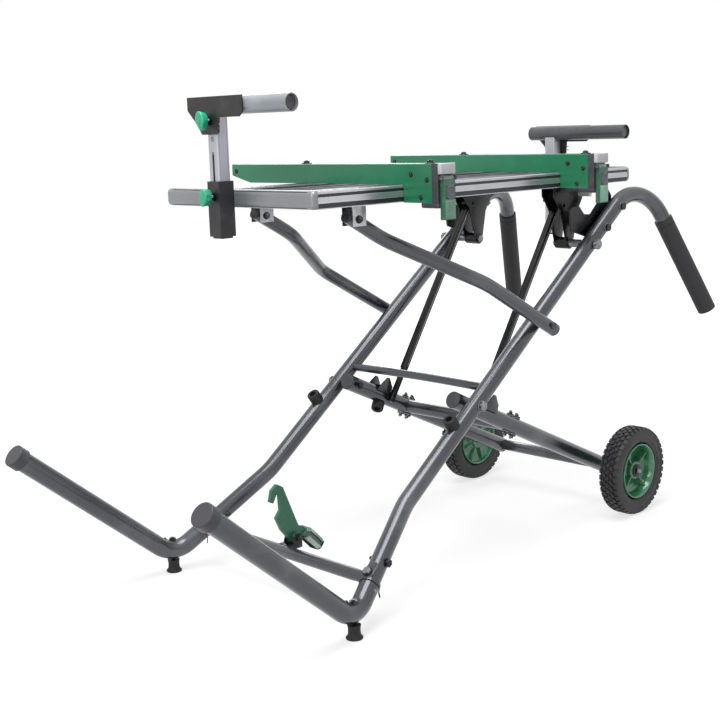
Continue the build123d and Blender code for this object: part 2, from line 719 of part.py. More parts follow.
# Pins of the table: pivot shafts through the legs, the lock rods above the notches
# and the pins that carry the upper ends of the links.
shaft_in = rail_y - bracket_out - 6.0
with BuildPart() as table_pins:
    with BuildSketch(across((table_pivot_x, -shaft_in, table_pivot_z))):
        Circle(pivot_r)
    extrude(amount=bolt_out + 10.0 - shaft_in)
    with BuildSketch(across((table_pivot_x, -rail_y - bracket_out, table_pivot_z))):
        Circle(pivot_r + 3.0)
    extrude(amount=leg_y - leg_r - rail_y - bracket_out - lock_t)
    with BuildSketch(across((table_pivot_x, -bolt_out - 0.5, table_pivot_z))):
        RegularPolygon(head_r + 3.0, 6)
    extrude(amount=9.0)
    with BuildSketch(across((table_pivot_x, -shaft_in, table_pivot_z))):
        RegularPolygon(head_r + 1.0, 6)
    extrude(amount=rail_y - bracket_out - shaft_in)
    with BuildSketch(across((lock_rod_x, -rail_y - bracket_out + plate_t, lock_rod_z))):
        Circle(lock_rod_r)
    extrude(amount=leg_y - leg_r - rail_y - bracket_out - plate_t + 4.0)
    with BuildSketch(across((link_top_x, -rail_y + bracket_out, link_top_z))):
        Circle(bolt_r)
    extrude(amount=2 * bracket_out)
    mirror(about=Plane.XZ)
save(table_pins, "table_pins")

# ---------------------------------------------------------------- braces
# Each brace is a tube pinned in a bracket that slides under its rail.  It joggles
# outward past the leg and is held by a bolt through its rounded lower end.
slider_w = 40.0
slider_in = brace_od / 2 + side_clear
slider_low = slider_z - 14.0
with BuildPart() as brace_sliders:
    with BuildSketch(Plane.XZ.offset(rail_y - slider_in - plate_t)):
        with BuildLine():
            Polyline(
                (slider_x - slider_w / 2, rail_z),
                (slider_x - slider_w / 2, slider_low),
                (slider_x + slider_w / 2, slider_low),
                (slider_x + slider_w / 2, rail_z),
                close=True,
            )
        make_face()
    extrude(amount=2 * slider_in + 2 * plate_t)
    corners = brace_sliders.edges().filter_by(Axis.Y).group_by(Axis.Z)[0]
    fillet(corners, radius=8.0)
    with BuildSketch(Plane.XZ.offset(rail_y - slider_in)):
        with Locations((slider_x, rail_z - plate_t - 50.0)):
            Rectangle(100.0, 100.0)
    extrude(amount=2 * slider_in, mode=Mode.SUBTRACT)
    with BuildSketch(across((slider_x, -rail_y + 40.0, slider_z))):
        Circle(bolt_r)
    extrude(amount=80.0, mode=Mode.SUBTRACT)
    with BuildSketch(across((slider_x, -rail_y + slider_in + plate_t + head_h, slider_z))):
        RegularPolygon(head_r, 6)
    extrude(amount=head_h)
    with BuildSketch(across((slider_x, -rail_y + slider_in + plate_t, slider_z))):
        Circle(bolt_r)
    extrude(amount=2 * slider_in + 2 * plate_t)
    with BuildSketch(across((slider_x, -rail_y - slider_in - plate_t, slider_z))):
        RegularPolygon(head_r, 6)
    extrude(amount=head_h)
    mirror(about=Plane.XZ)
save(brace_sliders, "brace_sliders")

brace_len = hypot(brace_pivot_x - slider_x, brace_pivot_z - slider_z)
brace_dx = (brace_pivot_x - slider_x) / brace_len
brace_dz = (brace_pivot_z - slider_z) / brace_len
brace_head = 13.0
brace_tail = 24.0


def on_brace(x, y):
    """Point of the brace's centre line above x, at distance y from the centre plane."""
    return Vector(x, -y, slider_z + (x - slider_x) * brace_dz / brace_dx)


brace_high = on_brace(slider_x - brace_head * brace_dx, rail_y)
brace_in = on_brace(brace_bend_in_x, rail_y)
brace_out = on_brace(brace_bend_out_x, brace_out_y)
brace_low = on_brace(brace_pivot_x + brace_tail * brace_dx, brace_out_y)
with BuildPart() as brace_tube_front:
    with BuildLine():
        FilletPolyline(brace_high, brace_in, brace_out, brace_low, radius=brace_bend_r)
    with BuildSketch(Plane(origin=brace_high, z_dir=(brace_dx, 0, brace_dz))):
        Circle(brace_od / 2)
        Circle(brace_od / 2 - tube_wall, mode=Mode.SUBTRACT)
    sweep()
    with BuildSketch(across((slider_x, -rail_y + 40.0, slider_z))):
        Circle(bolt_r + pin_clear)
    extrude(amount=80.0, mode=Mode.SUBTRACT)
    with BuildSketch(across((brace_pivot_x, -brace_out_y + 40.0, brace_pivot_z))):
        Circle(bolt_r)
    extrude(amount=80.0, mode=Mode.SUBTRACT)

with BuildPart() as brace_tube_rear:
    mirror(brace_tube_front.part, about=Plane.XZ)
save(brace_tube_front, "brace_tube_front")
save(brace_tube_rear, "brace_tube_rear")

# End plugs of the braces and the bolts that hold their lower ends to the legs.
with BuildPart() as brace_bolts:
    with BuildSketch(Plane(origin=brace_high, z_dir=(-brace_dx, 0, -brace_dz))):
        Circle(brace_od / 2)
    extrude(amount=cap_t)
    with BuildSketch(Plane(origin=brace_low, z_dir=(brace_dx, 0, brace_dz))):
        Circle(brace_od / 2)
    extrude(amount=cap_t)
    with BuildSketch(across((brace_pivot_x, -bolt_out - side_clear, brace_pivot_z))):
        Circle(bolt_r)
    extrude(amount=brace_out_y + brace_od / 2 - bolt_out - side_clear)
    with BuildSketch(across((brace_pivot_x, -brace_out_y - brace_od / 2 + 1.0, brace_pivot_z))):
        RegularPolygon(head_r, 6)
    extrude(amount=head_h)
    with BuildSketch(Plane(origin=brace_low, z_dir=(-brace_dx, 0, -brace_dz))):
        Circle(brace_od / 2)
        Circle(brace_od / 2 - tube_wall, mode=Mode.SUBTRACT)
    extrude(amount=60.0, mode=Mode.SUBTRACT)
    mirror(about=Plane.XZ)
save(brace_bolts, "brace_bolts")

# ---------------------------------------------------------------- links
# A channel hinged on the pivot bracket, and a bar sliding in it, tie table to arms.
link_len = hypot(link_foot_x - link_top_x, link_foot_z - link_top_z)
link_dx = (link_foot_x - link_top_x) / link_len
link_dz = (link_foot_z - link_top_z) / link_len
channel_len = 430.0
bar_overlap = 170.0
bar_deep = link_deep - link_wall - 2 * slide_clear


def on_link(s, rise=0.0):
    """Side-view point s down the link from its top pin and rise to its front."""
    return (link_top_x + s * link_dx - rise * link_dz, link_top_z + s * link_dz + rise * link_dx)


def link_plane(s, rise=0.0):
    """Plane square to the link at s, its local x along Y."""
    x, z = on_link(s, rise)
    return Plane(origin=(x, -link_y, z), x_dir=(0, 1, 0), z_dir=(link_dx, 0, link_dz))


with BuildPart() as link_channels:
    with BuildSketch(link_plane(-13.0)):
        Rectangle(link_w, link_deep)
    extrude(amount=channel_len + 13.0)
    with BuildSketch(link_plane(-20.0)):
        with Locations((0, link_wall)):
            Rectangle(link_w - 2 * link_wall, link_deep)
    extrude(amount=channel_len + 40.0, mode=Mode.SUBTRACT)
    with BuildSketch(across((link_top_x, -rail_y + 40.0, link_top_z))):
        Circle(bolt_r + pin_clear)
    extrude(amount=80.0, mode=Mode.SUBTRACT)
    mirror(about=Plane.XZ)
save(link_channels, "link_channels")

with BuildPart() as link_bars:
    with BuildSketch(link_plane(channel_len - bar_overlap)):
        with Locations((0, link_wall / 2)):
            Rectangle(bar_w, bar_deep)
    extrude(amount=link_len - channel_len + bar_overlap + 13.0)
    with BuildSketch(across((link_foot_x, -link_y + bar_w / 2, link_foot_z), -1.0)):
        RegularPolygon(head_r + 1.0, 6)
    extrude(amount=head_h)
    mirror(about=Plane.XZ)
save(link_bars, "link_bars")

# ---------------------------------------------------------------- saw brackets
# Two green channels across the rails carry the saw.  Their front ends drop beside
# the front rail, where a lever with a release button clamps them.
cap_len = 16.0
drop_y = -rail_y - rail_w / 2 - side_clear
drop_low = rail_z - 1.0
bracket_top = rail_top + bracket_h
body_front_y = bracket_front_y + cap_len
taper_y = 301.0
taper_rise = 15.0
slot_w = 8.4
slot_len = 90.0
slot_front_y = -165.0
slot_rear_y = 107.0
saw_bolt_front_y = -200.0
saw_bolt_rear_y = 142.0
lever_top = bracket_top - 20.0
lever_low = 723.0
lever_t = 15.0
lever_w = 34.0
pin_drop = 7.5
ear_h = 13.0
button_low = lever_low + 40.5
button_h = 29.0
button_w = 24.0
button_t = 9.0
pocket_deep = 6.0
for number, name in enumerate(("left", "right")):
    mid_x = table_mid_x + saw_mid_gap * (number - 0.5)
    x0 = mid_x - bracket_w / 2
    with BuildPart() as saw_bracket:
        with BuildSketch(Plane.YZ.offset(x0)):
            with BuildLine():
                Polyline(
                    (body_front_y, drop_low),
                    (drop_y, drop_low),
                    (drop_y, rail_top),
                    (taper_y, rail_top),
                    (bracket_rear_y, rail_top + taper_rise),
                    (bracket_rear_y, bracket_top),
                    (body_front_y, bracket_top),
                    close=True,
                )
            make_face()
        extrude(amount=bracket_w)
        fillet(saw_bracket.edges().filter_by(Axis.Y).group_by(Axis.Z)[-1], radius=2.0)
        inner_w = bracket_w - 2 * bracket_wall
        inner_len = bracket_rear_y - body_front_y - bracket_wall
        with BuildSketch(Plane.XY.offset(drop_low - 1.0)):
            with Locations((mid_x, body_front_y + inner_len / 2)):
                Rectangle(inner_w, inner_len)
        extrude(amount=bracket_top - bracket_wall - drop_low + 1.0, mode=Mode.SUBTRACT)
        with BuildSketch(Plane.XY.offset(bracket_top - 2 * bracket_wall)):
            for y in (slot_front_y, slot_rear_y):
                with Locations((mid_x, y)):
                    SlotOverall(slot_len, slot_w, rotation=90)
        extrude(amount=3 * bracket_wall, mode=Mode.SUBTRACT)
    save(saw_bracket, f"saw_bracket_{name}")

    # end cap and end block of the bracket, and the bolts that hold the saw
    pin_y = bracket_front_y - lever_t / 2 - side_clear
    pin_z = lever_top - pin_drop
    with BuildPart() as trim:
        with BuildSketch(Plane.YZ.offset(x0)):
            with BuildLine():
                Polyline(
                    (bracket_front_y, drop_low),
                    (body_front_y, drop_low),
                    (body_front_y, bracket_top),
                    (bracket_front_y - 8.0, bracket_top),
                    (bracket_front_y - 8.0, lever_top + 1.0),
                    (bracket_front_y, lever_top + 1.0),
                    close=True,
                )
            make_face()
        extrude(amount=bracket_w)
        for y in (saw_bolt_front_y, saw_bolt_rear_y):
            with BuildSketch(Plane.XY.offset(bracket_top)):
                with Locations((mid_x, y)):
                    Circle(9.0)
            extrude(amount=1.6)
            with BuildSketch(Plane.XY.offset(bracket_top + 1.6)):
                with Locations((mid_x, y)):
                    RegularPolygon(6.0, 6)
            extrude(amount=4.0)
            with BuildSketch(Plane.XY.offset(bracket_top - 16.0)):
                with Locations((mid_x, y)):
                    Circle(3.5)
            extrude(amount=16.0)
            with BuildSketch(Plane.XY.offset(bracket_top - bracket_wall - 6.0)):
                with Locations((mid_x, y)):
                    Circle(9.0)
            extrude(amount=6.0)
    save(trim, f"bracket_trim_{name}")

    # two ears on the end block and the pin on which the lever hangs
    with BuildPart() as ears:
        for ear_x in (x0, x0 + bracket_w - 2.5):
            with BuildSketch(Plane.YZ.offset(ear_x)):
                with Locations((bracket_front_y - lever_t / 2, pin_z)):
                    Rectangle(lever_t, ear_h)
            extrude(amount=2.5)
        with BuildSketch(Plane.YZ.offset(x0)):
            with Locations((pin_y, pin_z)):
                Circle(2.5)
        extrude(amount=bracket_w)
    save(ears, f"lever_ears_{name}")

    with BuildPart() as lever:
        with BuildSketch(Plane.YZ.offset(mid_x - lever_w / 2)):
            with Locations((pin_y, (lever_top + lever_low) / 2)):
                RectangleRounded(lever_t, lever_top - lever_low, 7.0)
        extrude(amount=lever_w)
        with BuildSketch(Plane.YZ.offset(x0)):
            with Locations((pin_y, pin_z)):
                Circle(2.5 + pin_clear)
        extrude(amount=bracket_w, mode=Mode.SUBTRACT)
        pocket_y = pin_y - lever_t / 2
        with BuildSketch(Plane.XZ.offset(-pocket_y)):
            with Locations((mid_x + 3.0, button_low + button_h / 2)):
                Rectangle(button_w + 2 * slide_clear, button_h + 2 * slide_clear)
        extrude(amount=-pocket_deep, mode=Mode.SUBTRACT)
    save(lever, f"clamp_lever_{name}")

    with BuildPart() as button:
        with BuildSketch(Plane.XZ.offset(-pocket_y - pocket_deep + 3.0)):
            with Locations((mid_x + 3.0, button_low + button_h / 2)):
                RectangleRounded(button_w, button_h, 3.0)
        extrude(amount=button_t)
        fillet(button.faces().sort_by(Axis.Y)[0].edges(), radius=1.5)
    save(button, f"lever_button_{name}")

# ---------------------------------------------------------------- extensions
# Each extension is a cross bar with two arms that telescope inside the rails.  The
# bar carries a socket in which a square post slides, with a support tube on top and
# a tee-shaped stop plate on the outer side.
arm_w = rail_w - 2 * rail_wall - 2 * slide_clear
arm_h = rail_h - 2 * rail_wall - 2 * slide_clear
socket_wall = 4.0
post_len = 233.0
slot_deep = 3.0
post_slot_w = 6.0
bar_round = 9.0
plate_top_up = 17.5
knob_drop = 6.0
for side, name, lift in ((-1, "left", post_raise), (1, "right", 0.0)):
    rail_end = table_mid_x + side * table_len / 2
    bar_out = rail_end + side * bar_t
    with BuildPart() as extension:
        with BuildSketch(Plane.XY.offset(rail_z)):
            with Locations((rail_end + side * bar_t / 2, (bar_front_y + bar_rear_y) / 2)):
                Rectangle(bar_t, bar_rear_y - bar_front_y)
        extrude(amount=bar_h)
        outer = extension.edges().filter_by(Axis.Z).group_by(Axis.X)[0 if side < 0 else -1]
        fillet(outer, radius=bar_round)
        ends = extension.edges().filter_by(Axis.X)
        fillet(ends, radius=bar_round)
        with BuildSketch(Plane.XY.offset(rail_z + tube_wall)):
            with Locations((rail_end + side * bar_t / 2, (bar_front_y + bar_rear_y) / 2)):
                Rectangle(bar_t - 2 * tube_wall, bar_rear_y - bar_front_y - 36.0)
        extrude(amount=bar_h - 2 * tube_wall, mode=Mode.SUBTRACT)
        with BuildSketch(Plane.YZ.offset(rail_end)):
            for y in (-rail_y, rail_y):
                with Locations((y, rail_z + rail_h / 2)):
                    Rectangle(arm_w, arm_h)
                    Rectangle(arm_w - 2 * tube_wall, arm_h - 2 * tube_wall, mode=Mode.SUBTRACT)
        extrude(amount=-side * arm_reach)
    save(extension, f"extension_{name}")

    socket_mid = bar_out + side * socket_x / 2
    post_face = socket_mid + side * post_side / 2
    socket_top = socket_z + socket_h
    with BuildPart() as socket:
        with BuildSketch(Plane.XY.offset(socket_z)):
            with Locations((socket_mid, post_y)):
                Rectangle(socket_x, socket_y)
                hole = post_side + 2 * slide_clear
                Rectangle(hole, hole, mode=Mode.SUBTRACT)
        extrude(amount=socket_h)
        with BuildSketch(Plane.YZ.offset(post_face)):
            with Locations((post_y, rail_z + 22.0)):
                Circle(bolt_r)
        extrude(amount=side * 20.0, mode=Mode.SUBTRACT)
    save(socket, f"post_socket_{name}")

    post_foot = socket_z - post_low - post_raise + lift
    post_top = post_foot + post_len
    tube_z = post_top + support_d / 2 - 3.0
    with BuildPart() as post:
        with BuildSketch(Plane.XY.offset(post_foot)):
            with Locations((socket_mid, post_y)):
                RectangleRounded(post_side, post_side, 3.0)
                Rectangle(post_side - 5.0, post_side - 5.0, mode=Mode.SUBTRACT)
        extrude(amount=post_len)
        with BuildSketch(Plane.YZ.offset(post_face - side * slot_deep)):
            with Locations((post_y, post_foot + post_len / 2 - 30.0)):
                Rectangle(post_slot_w, post_len - 110.0)
        extrude(amount=side * 10.0, mode=Mode.SUBTRACT)
        with BuildSketch(across((socket_mid, support_len, tube_z))):
            Circle(support_d / 2)
        extrude(amount=2 * support_len, mode=Mode.SUBTRACT)
    save(post, f"post_{name}")

    with BuildPart() as support:
        with BuildSketch(across((socket_mid, support_mid_y + support_len / 2, tube_z))):
            Circle(support_d / 2)
        extrude(amount=support_len)
        fillet(support.edges().filter_by(GeomType.CIRCLE), radius=2.0)
    save(support, f"support_tube_{name}")

    plate_x = socket_mid + side * (support_d / 2 + slide_clear)
    wide_low = tube_z - 21.0
    neck_low = wide_low - 31.0
    plate_top = tube_z + plate_top_up
    with BuildPart() as stop_plate:
        with BuildSketch(Plane.YZ.offset(plate_x)):
            with BuildLine():
                Polyline(
                    (post_y - 97.0, plate_top),
                    (post_y - 97.0, wide_low + 8.0),
                    (post_y - 87.0, wide_low),
                    (post_y - 29.0, wide_low),
                    (post_y - 27.0, neck_low + 4.0),
                    (post_y - 20.0, neck_low),
                    (post_y + 22.0, neck_low),
                    (post_y + 42.0, wide_low - 6.0),
                    (post_y + 63.0, wide_low + 14.0),
                    (post_y + 63.0, plate_top),
                    close=True,
                )
            make_face()
        extrude(amount=side * plate_t)
        with BuildSketch(Plane.YZ.offset(plate_x - side * 20.0)):
            with Locations((post_y, wide_low - knob_drop)):
                Circle(bolt_r + pin_clear)
        extrude(amount=side * 40.0, mode=Mode.SUBTRACT)
    save(stop_plate, f"stop_plate_{name}")

    # wing knobs: one clamps the post in its socket, one the stop plate on the post
    socket_out = socket_mid + side * socket_x / 2
    for knob_name, knob_x, knob_z, shank in (
        ("post", socket_out, rail_z + 22.0, 6.0),
        ("stop", plate_x + side * plate_t, wide_low - knob_drop, 4.0),
    ):
        with BuildPart() as knob:
            with BuildSketch(Plane.YZ.offset(knob_x + side * side_clear)):
                with Locations((post_y, knob_z)):
                    Circle(10.0)
            extrude(amount=side * 8.0)
            with BuildSketch(Plane.YZ.offset(knob_x + side * (side_clear + 6.0))):
                with Locations((post_y, knob_z)):
                    SlotOverall(36.0, 12.0, rotation=90)
            extrude(amount=side * 22.0)
            with BuildSketch(Plane.YZ.offset(knob_x + side * (side_clear + 2.0))):
                with Locations((post_y, knob_z)):
                    Circle(3.0)
            extrude(amount=-side * shank)
        save(knob, f"{knob_name}_knob_{name}")
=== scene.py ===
import json
from math import atan2, cos, pi, radians, sin

import bpy
from mathutils import Matrix, Vector


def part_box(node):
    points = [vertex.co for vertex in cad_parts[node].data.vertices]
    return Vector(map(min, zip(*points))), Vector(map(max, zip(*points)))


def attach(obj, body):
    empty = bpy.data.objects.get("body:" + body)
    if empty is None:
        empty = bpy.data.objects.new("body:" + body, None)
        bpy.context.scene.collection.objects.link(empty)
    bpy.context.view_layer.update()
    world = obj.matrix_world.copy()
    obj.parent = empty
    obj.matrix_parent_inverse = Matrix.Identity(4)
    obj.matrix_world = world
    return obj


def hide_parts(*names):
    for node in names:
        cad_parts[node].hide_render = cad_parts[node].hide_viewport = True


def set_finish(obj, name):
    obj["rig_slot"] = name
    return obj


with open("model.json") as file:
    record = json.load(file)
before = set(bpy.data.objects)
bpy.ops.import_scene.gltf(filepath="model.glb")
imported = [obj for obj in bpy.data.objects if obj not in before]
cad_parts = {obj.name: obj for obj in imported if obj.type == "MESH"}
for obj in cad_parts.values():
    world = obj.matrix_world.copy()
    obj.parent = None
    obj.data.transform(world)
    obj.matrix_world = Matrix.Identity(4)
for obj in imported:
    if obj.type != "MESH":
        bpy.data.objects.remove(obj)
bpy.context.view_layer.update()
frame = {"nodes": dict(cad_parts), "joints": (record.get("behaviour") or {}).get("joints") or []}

nodes = frame["nodes"]

# ------------------------------------------------------------------ studio
# A pale studio sweep: one large soft box overhead, a broad fill beside the camera and a
# weak light behind, so that the tubes show one soft line along their tops and a dark
# underside, and the floor keeps a faint shadow.
yaw, pitch, roll = radians(44.7125), radians(10.5379), radians(-1.8154)
ahead = Vector((sin(yaw) * cos(pitch), cos(yaw) * cos(pitch), -sin(pitch)))
level = Vector((cos(yaw), -sin(yaw), 0))
upward = level.cross(ahead)
right = level * cos(roll) + upward * sin(roll)
top = upward * cos(roll) - level * sin(roll)
camera_data = bpy.data.cameras.new("view_from_front_left")
camera_data.lens = 62.269
camera_data.sensor_width = 36
camera_data.clip_end = 50
camera = bpy.data.objects.new("view_from_front_left", camera_data)
bpy.context.scene.collection.objects.link(camera)
camera.matrix_world = Matrix((
    (right.x, top.x, -ahead.x, -1.879433),
    (right.y, top.y, -ahead.y, -1.802289),
    (right.z, top.z, -ahead.z, 0.895626),
    (0, 0, 0, 1),
))
bpy.context.scene.camera = camera
bpy.context.scene.view_settings.view_transform = "Standard"


def lamp(name, place, aim, size, watts):
    """A square soft box of the given size that faces the aim point."""
    data = bpy.data.lights.new(name, "AREA")
    data.shape = "SQUARE"
    data.size = size
    data.energy = watts
    box = bpy.data.objects.new(name, data)
    bpy.context.scene.collection.objects.link(box)
    box.location = place
    box.rotation_euler = (Vector(aim) - Vector(place)).to_track_quat("-Z", "Y").to_euler()


lamp("overhead_box", (-0.5, -0.3, 3.2), (0, 0, 0.4), 2.0, 74)
lamp("camera_side_fill", (-3.0, -0.9, 1.7), (0, 0, 0.5), 1.4, 30)
lamp("rear_rim", (2.2, 2.6, 1.9), (0, 0, 0.6), 1.2, 20)


def seen_as_white(parts, wires, plain, far):
    """How bright the backdrop is: far where it is looked at, reflected or seen through."""
    path = parts.new("ShaderNodeLightPath")
    once = parts.new("ShaderNodeMath")
    once.operation = "MAXIMUM"
    wires.new(path.outputs["Is Camera Ray"], once.inputs[0])
    wires.new(path.outputs["Is Transmission Ray"], once.inputs[1])
    either = parts.new("ShaderNodeMath")
    either.operation = "MAXIMUM"
    wires.new(once.outputs[0], either.inputs[0])
    wires.new(path.outputs["Is Glossy Ray"], either.inputs[1])
    level = parts.new("ShaderNodeMapRange")
    wires.new(either.outputs[0], level.inputs["Value"])
    level.inputs["To Min"].default_value = plain
    level.inputs["To Max"].default_value = far
    return level


studio = bpy.data.worlds.new("white_studio")
bpy.context.scene.world = studio
studio.use_nodes = True
sky_parts, sky_wires = studio.node_tree.nodes, studio.node_tree.links
sky = seen_as_white(sky_parts, sky_wires, 0.26, 1.0)
sky_wires.new(sky.outputs["Result"], sky_parts["Background"].inputs["Strength"])
sky_parts["Background"].inputs["Color"].default_value = (1, 1, 1, 1)

bpy.ops.object.select_all(action="DESELECT")
bpy.ops.mesh.primitive_plane_add(size=14, location=(0, 0, -0.0005))
floor = bpy.context.object
floor.name = "studio_floor"
bpy.ops.object.transform_apply(location=True, rotation=True, scale=True)
paper = bpy.data.materials.new("floor_paper")
paper.use_nodes = True
paper_parts, paper_wires = paper.node_tree.nodes, paper.node_tree.links
sheet = paper_parts["Principled BSDF"]
sheet.inputs["Base Color"].default_value = (0.42, 0.42, 0.42, 1)
sheet.inputs["Roughness"].default_value = 0.95
sheet.inputs["Specular IOR Level"].default_value = 0.0
# the paper rises to plain white away from the stand, so that no edge of it shows
spread = paper_parts.new("ShaderNodeTexCoord")
away = paper_parts.new("ShaderNodeVectorMath")
away.operation = "LENGTH"
paper_wires.new(spread.outputs["Object"], away.inputs[0])
fade = paper_parts.new("ShaderNodeMapRange")
fade.interpolation_type = "SMOOTHSTEP"
paper_wires.new(away.outputs["Value"], fade.inputs["Value"])
fade.inputs["From Min"].default_value = 0.7
fade.inputs["From Max"].default_value = 2.6
fade.inputs["To Min"].default_value = 0.70
fade.inputs["To Max"].default_value = 1.0
shown = seen_as_white(paper_parts, paper_wires, 0.0, 1.0)
lift = paper_parts.new("ShaderNodeMath")
lift.operation = "MULTIPLY"
paper_wires.new(shown.outputs["Result"], lift.inputs[0])
paper_wires.new(fade.outputs["Result"], lift.inputs[1])
sheet.inputs["Emission Color"].default_value = (1, 1, 1, 1)
paper_wires.new(lift.outputs[0], sheet.inputs["Emission Strength"])
floor.data.materials.append(paper)

# ------------------------------------------------------------------ leg frame
# The two long legs and the foot tubes that sleeve them are round steel tube with a
# metallic grey powder coat: a fine orange peel, dark and light flakes, and dull patches
# where hands and floors have rubbed it.


def effect(name, makes, ins, outs):
    """A shader node group with named inputs and outputs, filled in by makes."""
    group = bpy.data.node_groups.new(name, "ShaderNodeTree")
    for kind, label, value in ins:
        made = group.interface.new_socket(label, in_out="INPUT", socket_type=kind)
        if value is not None:
            made.default_value = value
    for kind, label in outs:
        group.interface.new_socket(label, in_out="OUTPUT", socket_type=kind)
    given, result = group.nodes.new("NodeGroupInput"), group.nodes.new("NodeGroupOutput")
    makes(group.nodes, group.links, given, result)
    return group


def make_coat(parts, wires, given, result):
    # stretched coordinates, then fine grain, broad tone and a rubbed mask
    place = parts.new("ShaderNodeVectorMath")
    place.operation = "MULTIPLY"
    wires.new(given.outputs["Vector"], place.inputs[0])
    wires.new(given.outputs["Stretch"], place.inputs[1])
    fine = parts.new("ShaderNodeTexNoise")
    fine.inputs["Detail"].default_value = 3
    wires.new(place.outputs[0], fine.inputs["Vector"])
    wires.new(given.outputs["Grain Scale"], fine.inputs["Scale"])
    broad = parts.new("ShaderNodeTexNoise")
    broad.inputs["Detail"].default_value = 5
    broad.inputs["Roughness"].default_value = 0.62
    wires.new(given.outputs["Vector"], broad.inputs["Vector"])
    wires.new(given.outputs["Patch Scale"], broad.inputs["Scale"])
    rub = parts.new("ShaderNodeMapRange")
    wires.new(broad.outputs["Fac"], rub.inputs["Value"])
    rub.inputs["From Min"].default_value = 0.50
    rub.inputs["From Max"].default_value = 0.72
    tone = parts.new("ShaderNodeMapRange")
    wires.new(fine.outputs["Fac"], tone.inputs["Value"])
    tone.inputs["From Min"].default_value = 0.34
    tone.inputs["From Max"].default_value = 0.68
    wires.new(tone.outputs["Result"], result.inputs["Grain"])
    wires.new(rub.outputs["Result"], result.inputs["Rubbed"])
    wires.new(fine.outputs["Fac"], result.inputs["Height"])


surface = effect(
    "coat_grain_and_rub", make_coat,
    (("NodeSocketVector", "Vector", None), ("NodeSocketVector", "Stretch", (1, 1, 1)),
     ("NodeSocketFloat", "Grain Scale", 900), ("NodeSocketFloat", "Patch Scale", 9)),
    (("NodeSocketFloat", "Grain"), ("NodeSocketFloat", "Rubbed"), ("NodeSocketFloat", "Height")),
)


def finish(name, colour, grain_colour, rub_colour, metal, rough, rough_rub,
           grain=900, patch=9, stretch=(1, 1, 1), bump=0.1, deep=0.0004, coat=0.0):
    """A surface with its own base, grain and rubbed colours, given as screen values of 0-255."""
    made = bpy.data.materials.new(name)
    made.use_nodes = True
    parts, wires = made.node_tree.nodes, made.node_tree.links
    skin = parts["Principled BSDF"]
    skin.inputs["Metallic"].default_value = metal
    if coat:
        skin.inputs["Coat Weight"].default_value = coat
        skin.inputs["Coat Roughness"].default_value = 0.12
    where = parts.new("ShaderNodeTexCoord")
    wear = parts.new("ShaderNodeGroup")
    wear.node_tree = surface
    wear.name = "coat_grain_and_rub"
    wear.inputs["Stretch"].default_value = stretch
    wear.inputs["Grain Scale"].default_value = grain
    wear.inputs["Patch Scale"].default_value = patch
    wires.new(where.outputs["Object"], wear.inputs["Vector"])
    tones = []
    for shade in (colour, grain_colour, rub_colour):
        tones.append(tuple((v / 255) ** 2.2 for v in shade) + (1,))
    first = parts.new("ShaderNodeMix")
    first.data_type = "RGBA"
    first.inputs[6].default_value = tones[0]
    first.inputs[7].default_value = tones[1]
    wires.new(wear.outputs["Grain"], first.inputs[0])
    second = parts.new("ShaderNodeMix")
    second.data_type = "RGBA"
    second.name = "rubbed_colour"
    second.inputs[7].default_value = tones[2]
    wires.new(wear.outputs["Rubbed"], second.inputs[0])
    wires.new(first.outputs[2], second.inputs[6])
    wires.new(second.outputs[2], skin.inputs["Base Color"])
    gloss = parts.new("ShaderNodeMapRange")
    gloss.inputs["To Min"].default_value = rough
    gloss.inputs["To Max"].default_value = rough_rub
    wires.new(wear.outputs["Rubbed"], gloss.inputs["Value"])
    wires.new(gloss.outputs["Result"], skin.inputs["Roughness"])
    relief = parts.new("ShaderNodeBump")
    relief.name = "relief"
    relief.inputs["Strength"].default_value = bump
    relief.inputs["Distance"].default_value = deep
    wires.new(wear.outputs["Height"], relief.inputs["Height"])
    wires.new(relief.outputs["Normal"], skin.inputs["Normal"])
    return made


def coat_nodes(material, *names):
    """Give CAD nodes this finish."""
    for name in names:
        mesh = nodes[name].data
        mesh.materials.clear()
        mesh.materials.append(material)


tube_grey = finish("tube_grey", (88, 89, 95), (68, 69, 74), (104, 105, 110), 0.66, 0.24, 0.34,
                   grain=1100, patch=7, bump=0.05, coat=0.35)
coat_nodes(tube_grey, "leg_tube_front", "leg_tube_rear", "foot_tube_front", "foot_tube_rear",
           "foot_cross_tube", "wheel_arm_front", "wheel_arm_rear", "brace_tube_front",
           "brace_tube_rear")

# The upper cross bar is a thin round bar between the legs, arched a little upward, with
# its ends let into the legs. The wheel arms' stop brackets come up against it.


# from the middle of the foot bends to the frame's origin (mm), and the stand's middle line (m)
bend_x, bend_y = 421.461525, 26.398217
mid_y = -bend_y / 1000


def spot(x, y, z=0.0):
    """A point of the stand, in millimetres from the foot bends, as metres in the frame."""
    return Vector((x - bend_x, y - bend_y, z)) / 1000


def pull(x, y, z):
    """Extrude what is selected by this much, in metres."""
    bpy.ops.mesh.extrude_region_move(TRANSFORM_OT_translate={"value": (x, y, z)})


